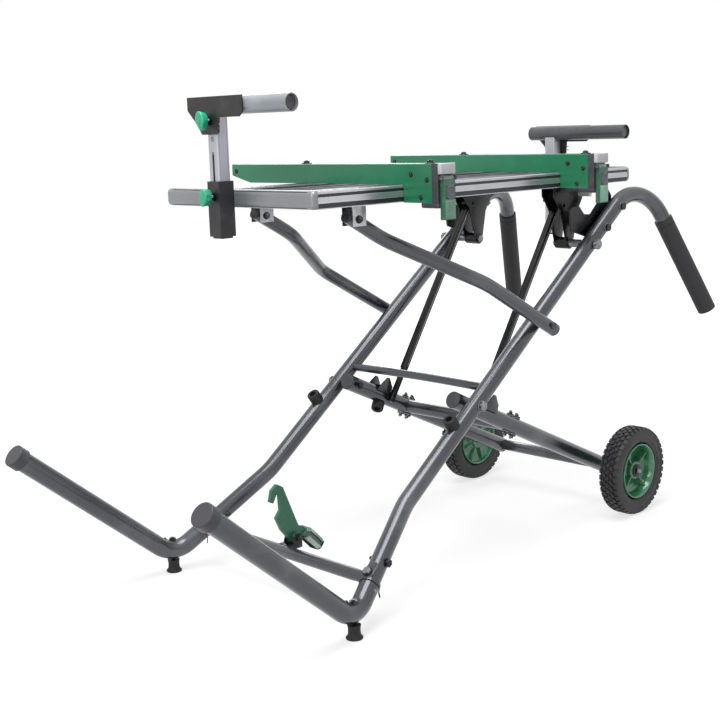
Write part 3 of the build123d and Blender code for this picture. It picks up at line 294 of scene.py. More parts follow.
def turned(profile, place, axis, sides=32):
    """A solid turned on a lathe: (radius, height) steps in mm, standing at place along axis."""
    bpy.ops.object.select_all(action="DESELECT")
    r0, h0 = profile[0]
    bpy.ops.mesh.primitive_circle_add(
        vertices=sides, radius=r0 / 1000, fill_type="NGON", location=(0, 0, 0))
    piece = bpy.context.object
    bpy.ops.object.mode_set(mode="EDIT")
    bpy.ops.mesh.select_all(action="SELECT")
    bpy.ops.transform.translate(value=(0, 0, h0 / 1000))
    for r, h in profile[1:]:
        pull(0, 0, (h - h0) / 1000)
        k = r / r0
        bpy.ops.transform.resize(value=(k, k, 1), center_override=(0, 0, h / 1000))
        r0, h0 = r, h
    bpy.ops.mesh.select_all(action="SELECT")
    bpy.ops.mesh.normals_make_consistent(inside=False)
    bpy.ops.object.mode_set(mode="OBJECT")
    piece.rotation_euler = Vector(axis).to_track_quat("Z", "Y").to_euler()
    piece.location = place
    bpy.ops.object.transform_apply(location=True, rotation=True, scale=True)
    return piece


def fit(piece, name, body, material, slot, angle=32):
    """Name a finished piece, smooth it, give it its finish and hang it on its body."""
    if piece.mode == "EDIT":
        bpy.ops.object.mode_set(mode="OBJECT")
    bpy.ops.object.select_all(action="DESELECT")
    piece.select_set(True)
    bpy.context.view_layer.objects.active = piece
    bpy.ops.object.transform_apply(location=True, rotation=True, scale=True)
    bpy.ops.object.shade_smooth_by_angle(angle=radians(angle))
    piece.name = name
    piece.data.name = name
    piece.data.materials.clear()
    piece.data.materials.append(material)
    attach(piece, body)
    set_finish(piece, slot)
    piece.select_set(False)
    return piece


def copied(piece, name, body, place=None, mirror=False):
    """Another of the same piece with its own mesh, moved by place or mirrored front to back."""
    mesh = piece.data.copy()
    if mirror:
        mid = Matrix.Translation((0, mid_y, 0))
        mesh.transform(mid @ Matrix.Scale(-1, 4, (0, 1, 0)) @ mid.inverted())
        mesh.flip_normals()
    if place is not None:
        mesh.transform(Matrix.Translation(place))
    twin = bpy.data.objects.new(name, mesh)
    mesh.name = name
    bpy.context.scene.collection.objects.link(twin)
    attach(twin, body)
    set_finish(twin, piece["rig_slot"])
    return twin


def select(piece, test, kind="FACE"):
    """Open the piece for editing, with only what passes the test selected.

    The test is given a face's centre and normal, an edge's two ends or a corner's place.
    """
    if piece.mode == "EDIT":
        bpy.ops.object.mode_set(mode="OBJECT")
    bpy.ops.object.select_all(action="DESELECT")
    piece.select_set(True)
    bpy.context.view_layer.objects.active = piece
    bpy.ops.object.mode_set(mode="EDIT")
    bpy.ops.mesh.select_mode(type=kind)
    bpy.ops.mesh.select_all(action="DESELECT")
    bpy.ops.object.mode_set(mode="OBJECT")
    if kind == "FACE":
        for face in piece.data.polygons:
            face.select = bool(test(face.center, face.normal))
    elif kind == "EDGE":
        for edge in piece.data.edges:
            ends = [piece.data.vertices[i].co for i in edge.vertices]
            edge.select = bool(test(ends[0], ends[1]))
    else:
        for corner in piece.data.vertices:
            corner.select = bool(test(corner.co))
    bpy.ops.object.mode_set(mode="EDIT")


low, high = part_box("leg_cross_bar")
bar_r, bar_long, arch = 8.5, 384, 0.003
bar = turned([(bar_r, 0)] + [(bar_r, h) for h in range(12, 379, 12)] + [(bar_r, bar_long)],
             (0, 0, 0), (0, 0, 1), 20)
reach = (high.y - low.y) / 2 + 0.012
for corner in bar.data.vertices:
    along = corner.co.z / (bar_long / 1000) * 2 - 1
    corner.co = Vector((corner.co.x, along * reach, corner.co.y + arch * (1 - along * along)))
select(bar, lambda c, n: True)
bpy.ops.mesh.normals_make_consistent(inside=False)
bpy.ops.object.mode_set(mode="OBJECT")
bar.location = (low + high) / 2
fit(bar, "arched_cross_bar", "leg_frame", tube_grey, "tube_grey", 60)
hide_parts("leg_cross_bar")

# ------------------------------------------------------------------ feet and grips
# The ends that people hold or stand on are rubber and plastic: smooth domed caps on the
# foot tubes, ribbed grips pushed over the leg ends, flared feet and hollow bumpers.
cap_black = finish("cap_plastic", (74, 74, 78), (66, 66, 70), (90, 90, 94), 0.0, 0.42, 0.55,
                   grain=700, patch=25, bump=0.15)
coat_nodes(cap_black, "foot_caps")
grip_rubber = finish("grip_rubber", (52, 52, 54), (43, 43, 45), (64, 64, 66), 0.0, 0.62, 0.78,
                     grain=1100, patch=16, bump=0.35)
coat_nodes(grip_rubber, "grips")
foot_rubber = finish("foot_rubber", (30, 30, 31), (22, 22, 23), (52, 51, 50), 0.0, 0.66, 0.8,
                     grain=900, patch=40, bump=0.3)

low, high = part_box("rubber_feet")
foot_y = 267
foot = turned([(13.0, 0.4), (15.2, 0.0), (16.0, 1.2), (16.0, 3.0), (14.4, 4.6), (12.4, 7.0),
               (11.6, 12.0), (11.4, 17.0), (11.9, 22.0), (12.6, 26.0)],
              spot(0, -foot_y), (0, 0, 1), 40)
fit(foot, "floor_foot_front", "leg_frame", foot_rubber, "rubber_black", 40)
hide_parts("rubber_feet")
foot_twin = copied(foot, "floor_foot_rear", "leg_frame", spot(0, foot_y) - spot(0, -foot_y))
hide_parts("rubber_feet")

lean = radians(36.38)
run = Vector((cos(lean), 0, sin(lean)))
rise = Vector((-sin(lean), 0, cos(lean)))
leg_y, tube_r = 197.0, 17.5
knee_x, knee_z = 213.0, 183.0


def on_run(s, up=0.0, y=-leg_y):
    """A point of the straight leg run, s above the knee and up from its axis, in mm."""
    return spot(knee_x, y, knee_z) + (run * s + rise * up) / 1000


def recess(piece, face_at, axis, rim, deep):
    """Sink the end face of a turned piece, leaving a rim of the given width (mm)."""
    axis = Vector(axis).normalized()
    select(piece, lambda c, n: n.dot(axis) > 0.9 and abs((c - face_at).dot(axis)) < 0.0006)
    bpy.ops.mesh.inset(thickness=rim / 1000, depth=0)
    bpy.ops.mesh.inset(thickness=0.0006, depth=-deep / 1000)
    bpy.ops.object.mode_set(mode="OBJECT")


bumper_s = 192.5
bumper = turned([(13.2, 12), (14.0, 15.5), (14.0, 34.5), (13.4, 36.4), (12.4, 37)],
                on_run(bumper_s), rise, 36)
recess(bumper, on_run(bumper_s, 37.0), rise, 5.2, 9)
fit(bumper, "leg_bumper_front", "leg_frame", foot_rubber, "rubber_black", 40)
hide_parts("rubber_feet")
bumper_twin = copied(bumper, "leg_bumper_rear", "leg_frame", Vector((0, 2 * leg_y / 1000, 0)))
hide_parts("rubber_feet")

# ------------------------------------------------------------------ leg fastenings
# Zinc plated bolts hold everything: a broad washer under each head, a crowned nut with
# its thread showing on the other side, and a wire clip that pins each foot tube.
zinc = finish("zinc_steel", (150, 151, 156), (118, 119, 126), (96, 94, 92), 0.85, 0.28, 0.46,
              grain=600, patch=120, bump=0.12)
dark_steel = finish("blackened_steel", (46, 46, 49), (34, 34, 37), (84, 84, 87), 0.5, 0.20, 0.36,
                    grain=700, patch=60, bump=0.12)
coat_nodes(dark_steel, "leg_bolts", "frame_bolts", "brace_bolts")
coat_nodes(zinc, "table_pins")
plate_black = finish("black_plate", (24, 24, 26), (17, 17, 19), (46, 46, 49), 0.3, 0.24, 0.42,
                     grain=1300, patch=26, bump=0.2)
coat_nodes(plate_black, "lock_plates", "pivot_brackets", "latch_bracket")


def washer(name, place, axis, radius, body, material=None, slot="bolt_steel"):
    """A round washer with a soft edge, lying at place and facing along axis."""
    piece = turned([(radius, 0), (radius, 1.1), (radius - 0.6, 1.7), (radius * 0.45, 1.7)],
                place, axis, 28)
    return fit(piece, name, body, material or zinc, slot)


def stud(name, place, axis, radius, length, body, material=None):
    """A threaded bolt end: a stack of sharp rings that narrows at its tip."""
    rings = []
    pitch_mm = 1.25
    height = 0.0
    while height < length - 1.5:
        rings += [(radius, height), (radius - 0.45, height + pitch_mm / 2)]
        height += pitch_mm
    piece = turned(rings + [(radius - 0.5, length - 1.0), (radius - 1.4, length)], place, axis, 20)
    return fit(piece, name, body, material or zinc, "bolt_steel")


def crowned_nut(name, place, axis, radius, height, body, material=None):
    """A hexagon with chamfered corners and a low round crown."""
    bpy.ops.object.select_all(action="DESELECT")
    bpy.ops.mesh.primitive_cylinder_add(vertices=6, radius=radius / 1000, depth=height / 1000)
    piece = bpy.context.object
    select(piece, lambda c, n: n.z > 0.9)
    bpy.ops.mesh.bevel(offset=0.0008, segments=2, affect="EDGES")
    select(piece, lambda c, n: n.z > 0.9 and c.z > height / 2000 - 1e-5)
    bpy.ops.mesh.inset(thickness=0.0016, depth=0.0)
    bpy.ops.mesh.inset(thickness=0.0010, depth=0.0012)
    bpy.ops.object.mode_set(mode="OBJECT")
    piece.rotation_euler = Vector(axis).to_track_quat("Z", "Y").to_euler()
    piece.location = Vector(place) + Vector(axis).normalized() * height / 2000
    bpy.ops.object.transform_apply(location=True, rotation=True, scale=True)
    return fit(piece, name, body, material or zinc, "bolt_steel")


arm_pivot_s, table_pivot_s, lock_s = 265.8, 755.2, (811.2, 883.2)
front_rear = (("front", -1), ("rear", 1))
for label, side in front_rear:
    out = Vector((0, side, 0))
    face = side * (leg_y + tube_r)
    washer(f"arm_pivot_washer_{label}", on_run(arm_pivot_s, 0, face - side * 1.0), out, 11.5,
           "leg_frame")
    crowned_nut(f"arm_pivot_nut_{label}", on_run(arm_pivot_s, 0, face + side * 0.4), out, 10.4, 6.6,
                "leg_frame")
    for number, s in enumerate(lock_s):
        washer(f"lock_washer_{label}_{number}", on_run(s, 0, face - side * 1.0), out, 9.6,
               "leg_frame")
        stud(f"lock_stud_{label}_{number}", on_run(s, 0, side * (leg_y - tube_r - 9.5)), -out,
             4.0, 7.5, "leg_frame")
    crowned_nut(f"table_pivot_nut_{label}", on_run(table_pivot_s, 0, face + side * 1.4), out, 11.2,
                9.0, "table")
    stud(f"table_pivot_stud_{label}", on_run(table_pivot_s, 0, face + side * 9.0), out, 6.0, 5.0,
         "table")

# ------------------------------------------------------------------ foot joint
# Each leg ends inside its foot tube, where a bolt goes through both and a bent wire clip
# springs round the mouth. The lower cross tube is slimmer, and its pressed ends are bolted
# to the legs under broad washers.
foot_z = 34
shin = (spot(knee_x, -leg_y, knee_z) - spot(0, -foot_y, foot_z)).normalized()
for label, side in front_rear:
    shin_here = Vector((shin.x, -side * shin.y, shin.z))
    base = spot(0, side * foot_y, foot_z)
    across = Vector((0, 1, 0)).cross(shin_here).normalized()
    out = Vector((0, side, 0))
    mouth = base + shin_here * 0.0770
    bpy.ops.object.select_all(action="DESELECT")
    bpy.ops.mesh.primitive_torus_add(
        major_radius=0.0201, minor_radius=0.0008, major_segments=48, minor_segments=8)
    clip = bpy.context.object
    select(clip, lambda c: c.x > 0.010 and abs(c.y) < 0.013, "VERT")
    bpy.ops.mesh.delete(type="VERT")
    select(clip, lambda a, b: min(a.x, b.x) > 0.010 and max(a.y, b.y) < 0
           and abs((a - b).dot(Vector((a.x, a.y, 0)).normalized())) + abs(a.z - b.z) > 0.0002,
           "EDGE")
    pull(0.005, 0.003, -0.002)
    pull(0.006, -0.002, -0.006)
    bpy.ops.object.mode_set(mode="OBJECT")
    select(clip, lambda a, b: False, "EDGE")
    bpy.ops.mesh.select_non_manifold()
    bpy.ops.mesh.edge_face_add()
    bpy.ops.object.mode_set(mode="OBJECT")
    clip.rotation_euler = Matrix((across, shin_here.cross(across), shin_here)).transposed().to_euler()
    clip.location = mouth
    fit(clip, f"sleeve_clip_{label}", "leg_frame", dark_steel, "bolt_steel", 60)
    collar = turned([(19.15, 0), (19.9, 0.7), (19.9, 3.2), (19.1, 4.0)],
                    base + shin_here * 0.0806, shin_here, 40)
    fit(collar, f"sleeve_lip_{label}", "leg_frame", tube_grey, "tube_grey", 30)
    snap = turned([(3.4, 0), (3.4, 0.5), (2.4, 1.3), (1.0, 1.6)],
                  base + shin_here * 0.070 + out * 0.0190, out, 20)
    fit(snap, f"sleeve_snap_{label}", "leg_frame", zinc, "bolt_steel", 60)

    # the through bolt: nut outside, thread inside
    bolt_up = base + shin_here * 0.134
    washer(f"clip_washer_{label}", bolt_up + out * 0.0168, out, 9.6, "leg_frame", dark_steel)
    crowned_nut(f"clip_nut_{label}", bolt_up + out * 0.0180, out, 8.2, 6.4, "leg_frame",
                dark_steel)
    stud(f"clip_stud_{label}", bolt_up - out * 0.0168, -out, 4.2, 9.0, "leg_frame", dark_steel)

    # the pressed end of the cross tube, with its bolt
    cross = base + shin_here * 0.0925 - across * 0.0172
    bpy.ops.object.select_all(action="DESELECT")
    bpy.ops.mesh.primitive_cylinder_add(vertices=32, radius=0.0132, depth=0.0046)
    tab = bpy.context.object
    select(tab, lambda c, n: n.y * side < -0.5 and abs(n.z) < 0.5)
    bpy.ops.transform.translate(value=(0, -side * 0.012, 0))
    select(tab, lambda c, n: abs(n.z) > 0.9)
    bpy.ops.mesh.bevel(offset=0.0014, segments=3, affect="EDGES")
    bpy.ops.object.mode_set(mode="OBJECT")
    tab.rotation_euler = (-across).to_track_quat("Z", "Y").to_euler()
    tab.location = cross
    fit(tab, f"cross_tube_end_{label}", "leg_frame", tube_grey, "tube_grey", 40)
    washer(f"cross_washer_{label}", cross - across * 0.0020, -across, 10.5, "leg_frame", dark_steel)
    crowned_nut(f"cross_nut_{label}", cross - across * 0.0034, -across, 8.4, 6.0, "leg_frame",
                zinc)
    stud(f"foot_stud_{label}", spot(-15, side * 268, 64), Vector((-0.35, 0, 1)), 3.8, 13.0,
         "leg_frame", dark_steel)
    washer(f"foot_stud_washer_{label}", spot(-16, side * 268, 68.0), Vector((-0.35, 0, 1)), 6.6,
           "leg_frame", dark_steel)

low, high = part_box("foot_cross_tube")
middle = (low + high) / 2
half_long = (high.y - low.y) / 2
tip = half_long * 1000
slim = turned([(8.0, 2 - tip), (11.0, 14 - tip), (12.2, 34 - tip), (12.2, 0), (12.2, tip - 34),
               (11.0, tip - 14), (8.0, tip - 2)], middle, (0, 1, 0), 40)
fit(slim, "lower_cross_tube", "leg_frame", tube_grey, "tube_grey", 60)
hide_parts("foot_cross_tube")

# ------------------------------------------------------------------ foot latch
# A flat green steel hook swings between two small black plates on the lower cross tube.
# Its moulded pedal is paler and slightly clear, and a coil spring holds the hook up.
hook_green = finish("latch_green", (62, 122, 96), (54, 110, 86), (82, 138, 112), 0.1, 0.36, 0.5,
                    grain=900, patch=30, bump=0.12)
coat_nodes(hook_green, "foot_latch")
pedal_green = finish("pedal_green", (86, 128, 110), (74, 116, 98), (108, 148, 131), 0.0, 0.22,
                     0.36, grain=700, patch=40, bump=0.08, coat=0.5)
pedal_skin = pedal_green.node_tree.nodes["Principled BSDF"]
pedal_skin.inputs["Transmission Weight"].default_value = 0.25
pedal_skin.inputs["IOR"].default_value = 1.46
pedal_pale = finish("pedal_pale", (190, 214, 203), (176, 203, 191), (206, 226, 217), 0.0, 0.2,
                    0.34, grain=700, patch=40, bump=0.08, coat=0.5)


def block(size):
    """A sharp block of the given size in metres, centred on the origin."""
    bpy.ops.object.select_all(action="DESELECT")
    bpy.ops.mesh.primitive_cube_add(size=1, location=(0, 0, 0))
    piece = bpy.context.object
    piece.dimensions = size
    bpy.ops.object.transform_apply(location=False, rotation=False, scale=True)
    return piece


def brick(size, edge=1.2, steps=3):
    """A block of the given size in mm, centred on the origin, with rounded edges."""
    piece = block(Vector(size) / 1000)
    select(piece, lambda c, n: True)
    bpy.ops.mesh.bevel(offset=edge / 1000, segments=steps, affect="EDGES")
    bpy.ops.object.mode_set(mode="OBJECT")
    return piece


low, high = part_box("latch_pedal")
middle = (low + high) / 2
down = radians(45)
pedal = brick((52, 29, 17), 0.01, 1)
select(pedal, lambda c, n: n.x < -0.9)
bpy.ops.transform.resize(value=(1, 0.62, 0.62), center_override=(-0.026, 0, 0.0))
select(pedal, lambda c, n: n.x > 0.9)
bpy.ops.transform.resize(value=(1, 0.72, 0.70), center_override=(0.026, 0, -0.003))
select(pedal, lambda c, n: True)
bpy.ops.mesh.bevel(offset=0.0052, segments=5, affect="EDGES")
bpy.ops.object.mode_set(mode="OBJECT")
pedal.rotation_euler = (0, down, 0)
pedal.location = middle + Vector((-0.0020, 0, 0.0020))
fit(pedal, "moulded_pedal", "foot_latch", pedal_green, "green_plastic", 50)
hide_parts("latch_pedal")
tread_pad = brick((34, 16, 2.4), 1.1, 3)
select(tread_pad, lambda c: c.x < -0.015, "VERT")
bpy.ops.transform.resize(value=(1, 0.72, 1), center_override=(-0.017, 0, 0))
bpy.ops.object.mode_set(mode="OBJECT")
tread_pad.rotation_euler = (0, down, 0)
tread_pad.location = middle + Vector((sin(down) * 0.0074 - 0.0020, 0, cos(down) * 0.0074 + 0.0020))
fit(tread_pad, "pedal_tread", "foot_latch", pedal_pale, "green_plastic", 50)

pin = [Vector(j["pos_m"]) for j in frame["joints"] if j["name"] == "latch_turn"][0]
for label, side in front_rear:
    out = Vector((0, side, 0))
    plate = brick((27, 2.6, 30), 1.1, 2)
    select(plate, lambda c: c.z > 0.010 and c.x < 0, "VERT")
    bpy.ops.transform.translate(value=(0.009, 0, 0))
    bpy.ops.object.mode_set(mode="OBJECT")
    plate.location = Vector((pin.x - 0.004, mid_y + side * 0.0137, pin.z - 0.0060))
    fit(plate, f"latch_plate_{label}", "leg_frame", plate_black, "black_metal", 40)
    if side < 0:
        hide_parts("latch_bracket")
    face = Vector((pin.x, mid_y + side * 0.0150, pin.z))
    washer(f"latch_washer_{label}", face, out, 7.6, "leg_frame", dark_steel)
    crowned_nut(f"latch_nut_{label}", face + out * 0.0014, out, 6.6, 5.2, "leg_frame", dark_steel)
saddle = brick((24, 30, 5), 2.0, 3)
saddle.location = Vector((pin.x - 0.018, mid_y, pin.z - 0.0125))
fit(saddle, "latch_saddle", "leg_frame", plate_black, "black_metal", 40)
coil = turned([(5.6 if i % 2 else 4.3, i * 0.9) for i in range(19)],
              Vector((pin.x, mid_y - 0.0126, pin.z)), (0, 1, 0), 24)
select(coil, lambda c: abs(c.y - mid_y) < 0.0045, "VERT")
bpy.ops.transform.resize(value=(0.5, 1, 0.5), center_override=(pin.x, mid_y, pin.z))
bpy.ops.object.mode_set(mode="OBJECT")
fit(coil, "latch_spring", "leg_frame", zinc, "bolt_steel", 20)

# ------------------------------------------------------------------ wheel frame
# The wheel arms are the same grey tube, closed by round textured plugs. The tie tube
# between them is pressed flat at its ends and bolted through from above.
coat_nodes(tube_grey, "arm_cross_tube")
plug_grey = finish("plug_plastic", (70, 70, 74), (60, 60, 64), (84, 84, 88), 0.0, 0.5, 0.62,
                   grain=500, patch=60, bump=0.35)
coat_nodes(plug_grey, "arm_caps")
bracket_grey = finish("stop_bracket_grey", (66, 67, 71), (54, 55, 59), (92, 92, 96), 0.35,
                      0.28, 0.45, grain=1200, patch=20, bump=0.14, coat=0.2)
slope = -radians(25.16)
arm_y = 0.153
arm_run = Vector((cos(slope), 0, sin(slope)))
arm_rise = Vector((-sin(slope), 0, cos(slope)))
arm_pivot = on_run(arm_pivot_s, 0, 0)


def on_arm(s, up=0.0, y=0.0):
    """A point of the wheel arms, s along from their pivot and up from their axis, in mm."""
    return arm_pivot + (arm_run * s + arm_rise * up + Vector((0, y, 0))) / 1000


def cut_plate(outline, thick, edge=0.5):
    """A flat plate in the side view: outline points as metres, centred on y = 0."""
    bpy.ops.object.select_all(action="DESELECT")
    bpy.ops.mesh.primitive_circle_add(vertices=len(outline), radius=1, fill_type="NGON",
                                      location=(0, 0, 0))
    piece = bpy.context.object
    for corner, point in zip(piece.data.vertices, outline):
        corner.co = (point.x, -thick / 2000, point.z)
    select(piece, lambda c, n: True)
    pull(0, thick / 1000, 0)
    bpy.ops.mesh.select_all(action="SELECT")
    bpy.ops.mesh.normals_make_consistent(inside=False)
    bpy.ops.mesh.bevel(offset=edge / 1000, segments=2, affect="EDGES")
    bpy.ops.object.mode_set(mode="OBJECT")
    return piece


# folded stop brackets: two cheeks and a bridge that saddle each arm under the cross bar
for label, side in front_rear:
    for cheek, shift in (("inner", 18.6), ("outer", -18.6)):
        ear = cut_plate([on_arm(s, up) for s, up in
                         ((62, 6), (108, 6), (106, 24), (90, 41), (82, 41), (70, 24))], 2.2)
        ear.location = (0, mid_y + side * arm_y + side * shift / -1000, 0)
        fit(ear, f"stop_cheek_{label}_{cheek}", "wheel_frame", bracket_grey, "tube_grey", 40)
        if cheek == "inner":
            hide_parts("arm_gussets")
    bridge = brick((34, 36, 2.2), 0.8, 2)
    bridge.rotation_euler = (0, -slope, 0)
    bridge.location = on_arm(84.0, 19.0) + Vector((0, side * arm_y, 0))
    fit(bridge, f"stop_bridge_{label}", "wheel_frame", bracket_grey, "tube_grey", 40)

aslant = (Vector((0, -0.40, 0)) - arm_rise * 0.85 - arm_run * 0.40).normalized()
hanging_at = on_arm(96.0, -15.0, arm_y * 1000)
hanging = turned([(13.2, 0), (14.0, 3.5), (14.0, 19.5), (13.4, 21.4), (12.4, 22)],
                 hanging_at, aslant, 36)
recess(hanging, hanging_at + aslant * 0.022, aslant, 5.2, 8)
fit(hanging, "hanging_bumper", "wheel_frame", foot_rubber, "rubber_black", 40)
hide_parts("fold_bumper")

# a spacer tube round the axle holds the two arms apart
low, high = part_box("axle")
axle_mid = (low + high) / 2
spacer = turned([(12.0, -136), (13.0, -135), (13.0, -45), (13.0, 45), (13.0, 135), (12.0, 136)],
                axle_mid, (0, 1, 0), 40)
fit(spacer, "axle_spacer_tube", "wheel_frame", tube_grey, "tube_grey", 50)

# bright washers and thread ends where the tie tube is bolted to the arms
low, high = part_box("arm_cross_tube")
tie = (low + high) / 2
for label, side in front_rear:
    for number, shift in enumerate((-0.011, 0.011)):
        at = Vector((tie.x, mid_y + side * arm_y, tie.z)) + arm_run * shift
        for end, way in (("top", 1), ("low", -1)):
            up = arm_rise * way
            washer(f"tie_washer_{label}_{number}_{end}", at + up * 0.0168, up, 8.4, "wheel_frame")
            stud(f"tie_stud_{label}_{number}_{end}", at + up * 0.0225, up, 3.6, 6.5, "wheel_frame")

# ------------------------------------------------------------------ wheels
# Solid rubber tyres with staggered tread blocks sit on moulded green rims. Each rim is a
# dish with four deep ribs outside and eight low ones inside, a rolled lip and a hub that
# turns on the axle behind a washer and the axle's threaded end.
tyre_black = finish("tyre_rubber", (42, 42, 45), (32, 32, 34), (56, 55, 56), 0.0, 0.50, 0.70,
                    grain=900, patch=30, bump=0.35)
rim_green = finish("rim_green", (66, 146, 102), (58, 134, 92), (96, 170, 130), 0.0, 0.16, 0.28,
                   grain=500, patch=26, bump=0.06, coat=0.6)
low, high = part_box("tyre_front")
hub = (low + high) / 2
wheel_y = 0.238

bpy.ops.object.select_all(action="DESELECT")
bpy.ops.mesh.primitive_cylinder_add(vertices=96, radius=0.0980, depth=0.0440, end_fill_type="NGON")
tyre = bpy.context.object
for side in (1, -1):
    select(tyre, lambda c, n: n.z * side > 0.9)
    bpy.ops.mesh.bevel(offset=0.0042, segments=4, affect="EDGES")
    select(tyre, lambda c, n: n.z * side > 0.9 and abs(c.x) + abs(c.y) < 0.002)
    bpy.ops.mesh.inset(thickness=0.0030, depth=0.0006)
    bpy.ops.mesh.inset(thickness=0.0014, depth=-0.0011)
    bpy.ops.mesh.inset(thickness=0.0120, depth=0.0007)
    bpy.ops.mesh.inset(thickness=0.0008, depth=-0.0009)
    bpy.ops.mesh.inset(thickness=0.0080, depth=-0.0011)
    bpy.ops.mesh.inset(thickness=0.0030, depth=-0.0030)
select(tyre, lambda c, n: abs(n.z) > 0.9 and abs(c.x) + abs(c.y) < 0.002)
bpy.ops.mesh.delete(type="FACE")
select(tyre, lambda a, b: False, "EDGE")
bpy.ops.mesh.select_non_manifold()
bpy.ops.mesh.bridge_edge_loops()
bpy.ops.mesh.select_all(action="SELECT")
bpy.ops.mesh.normals_make_consistent(inside=False)
bpy.ops.object.mode_set(mode="OBJECT")


def joined(base, parts):
    """Make the parts one mesh with the base, which keeps its place and name."""
    bpy.ops.object.select_all(action="DESELECT")
    for part in parts:
        part.select_set(True)
    base.select_set(True)
    bpy.context.view_layer.objects.active = base
    bpy.ops.object.join()


# one tread block, drawn in and softened, then spun round the tyre in staggered rows
rows = []
lugs_round = 40
for row in range(5):
    lug = brick((4.2, 10.6, 7.4), 0.01, 1)
    select(lug, lambda c, n: n.x > 0.9)
    bpy.ops.transform.resize(value=(1, 0.80, 0.78), center_override=(0.0021, 0, 0))
    bpy.ops.mesh.bevel(offset=0.0007, segments=1, affect="EDGES")
    select(lug, lambda c, n: n.x < -0.9)
    bpy.ops.mesh.delete(type="FACE")
    bpy.ops.object.mode_set(mode="OBJECT")
    tilt = (0, 34, -34, 34, 0)[row]
    swing = Matrix.Rotation(radians(360 / lugs_round * (row % 2) / 2), 4, "Z")
    lean_in = Matrix.Rotation(radians((26, 0, 0, 0, -26)[row]), 4, "Y")
    radius_here = 0.0976 if row in (0, 4) else 0.0994
    lug.data.transform(
        swing @ Matrix.Translation((radius_here, 0, (row - 2) * 0.0094))
        @ lean_in @ Matrix.Rotation(radians(tilt), 4, "X"))
    rows.append(lug)
tread = rows[0]
joined(tread, rows[1:])
bpy.ops.object.mode_set(mode="EDIT")
bpy.ops.mesh.select_all(action="SELECT")
bpy.ops.mesh.spin(steps=lugs_round, dupli=True, angle=2 * pi, center=(0, 0, 0), axis=(0, 0, 1))
bpy.ops.object.mode_set(mode="OBJECT")
joined(tyre, [tread])
tyre.rotation_euler = (radians(90), 0, 0)
tyre.location = hub
fit(tyre, "treaded_tyre_front", "wheel_front", tyre_black, "tyre_black", 28)
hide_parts("tyre_front")
tyre_twin = copied(tyre, "treaded_tyre_rear", "wheel_rear", Vector((0, 2 * wheel_y, 0)))
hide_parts("tyre_rear")

rim = turned([(15, 12.0), (19.0, 11.4), (21.0, 9.0), (22.0, 0.0), (26.0, -4.4), (34.0, -6.4),
              (45.0, -5.2), (52.0, -0.6), (56.0, 8.0), (58.4, 19.0), (60.4, 21.2), (62.8, 21.0),
              (63.4, 18.6), (63.4, -18.6), (62.8, -21.0), (60.4, -21.2), (58.6, -19.4),
              (57.0, -13.0), (54.0, -11.0), (45.0, -10.2), (34.0, -10.8), (27.0, -12.0),
              (23.0, -15.0), (21.5, -19.0), (18, -19.5)],
             (0, 0, 0), (0, 0, 1), 72)
for turn, place_z, tall in ([(90 * i + 40, 1.5, 15.0) for i in range(4)]
                            + [(45 * i + 18, -13.5, 7.5) for i in range(8)]):
    web = brick((37, 3.0, tall), 0.8, 2)
    select(web, lambda c: c.z * place_z > 0 and c.x > 0, "VERT")
    bpy.ops.transform.translate(value=(0, 0, 0.004 if place_z > 0 else -0.001))
    bpy.ops.object.mode_set(mode="OBJECT")
    web.data.transform(Matrix.Rotation(radians(turn), 4, "Z")
                       @ Matrix.Translation((0.0385, 0, place_z / 1000)))
    joined(rim, [web])
rim.rotation_euler = (radians(90), 0, 0)
rim.location = hub
fit(rim, "ribbed_rim_front", "wheel_front", rim_green, "green_plastic", 30)
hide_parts("rim_front")
rim_twin = copied(rim, "ribbed_rim_rear", "wheel_rear", mirror=True)
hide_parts("rim_rear")
bush_black = finish("hub_bush", (40, 40, 41), (32, 32, 33), (60, 60, 60), 0.0, 0.5, 0.6,
                    grain=500, patch=90, bump=0.2)
for label, side in front_rear:
    out = Vector((0, side, 0))
    middle = Vector((hub.x, mid_y + side * wheel_y, hub.z))
    bush = turned([(8.0, 0), (14.5, 0.0), (15.4, 1.0), (15.4, 5.4), (14.0, 6.4), (9.0, 6.4)],
                  middle + out * 0.0090, out, 36)
    fit(bush, f"hub_bush_{label}", f"wheel_{label}", bush_black, "plastic_black", 30)
    end = turned([(9.5, 0), (10.0, 0.8), (10.0, 1.6), (6.0, 1.6)], middle + out * 0.0160, out, 28)
    fit(end, f"axle_washer_{label}", "wheel_frame", dark_steel, "bolt_steel", 30)
    stud(f"axle_end_{label}", middle + out * 0.0170, out, 5.4, 6.0, "wheel_frame")
axle_rod = turned([(7.0, -255), (8.0, -254), (8.0, -80), (8.0, 80), (8.0, 254), (7.0, 255)],
                  axle_mid, (0, 1, 0), 32)
fit(axle_rod, "axle_rod", "wheel_frame", zinc, "bolt_steel", 40)
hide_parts("axle")

# ------------------------------------------------------------------ table rails
# The rails are drawn aluminium, clear anodised: rounded along the top, two fine grooves
# down the outer face and a shallow hollow below. Draw lines run along their whole length.
# Dark strips in the grooves, in the hollow and along the top are painted shade.
drawn = finish("drawn_aluminium", (198, 199, 205), (186, 187, 193), (208, 209, 213), 0.70, 0.24,
               0.31, grain=420, patch=5, stretch=(0.02, 1, 1), bump=0.05, deep=0.0002)
# a dark finish for strips that paint shade into the rail's grooves, hollow and top
rail_painted_shade = finish("rail_painted_shade", (66, 67, 71), (56, 57, 61), (78, 79, 83), 0.45, 0.30, 0.38,
                      grain=420, patch=6, stretch=(0.02, 1, 1), bump=0.05, deep=0.0002)


def cut_across(axis, *places):
    """Cut the whole mesh open for editing by planes square to an axis (0 x, 1 y, 2 z)."""
    for place in places:
        square = [0, 0, 0]
        square[axis] = 1
        bpy.ops.mesh.select_all(action="SELECT")
        bpy.ops.mesh.bisect(plane_co=[place * way for way in square], plane_no=square)


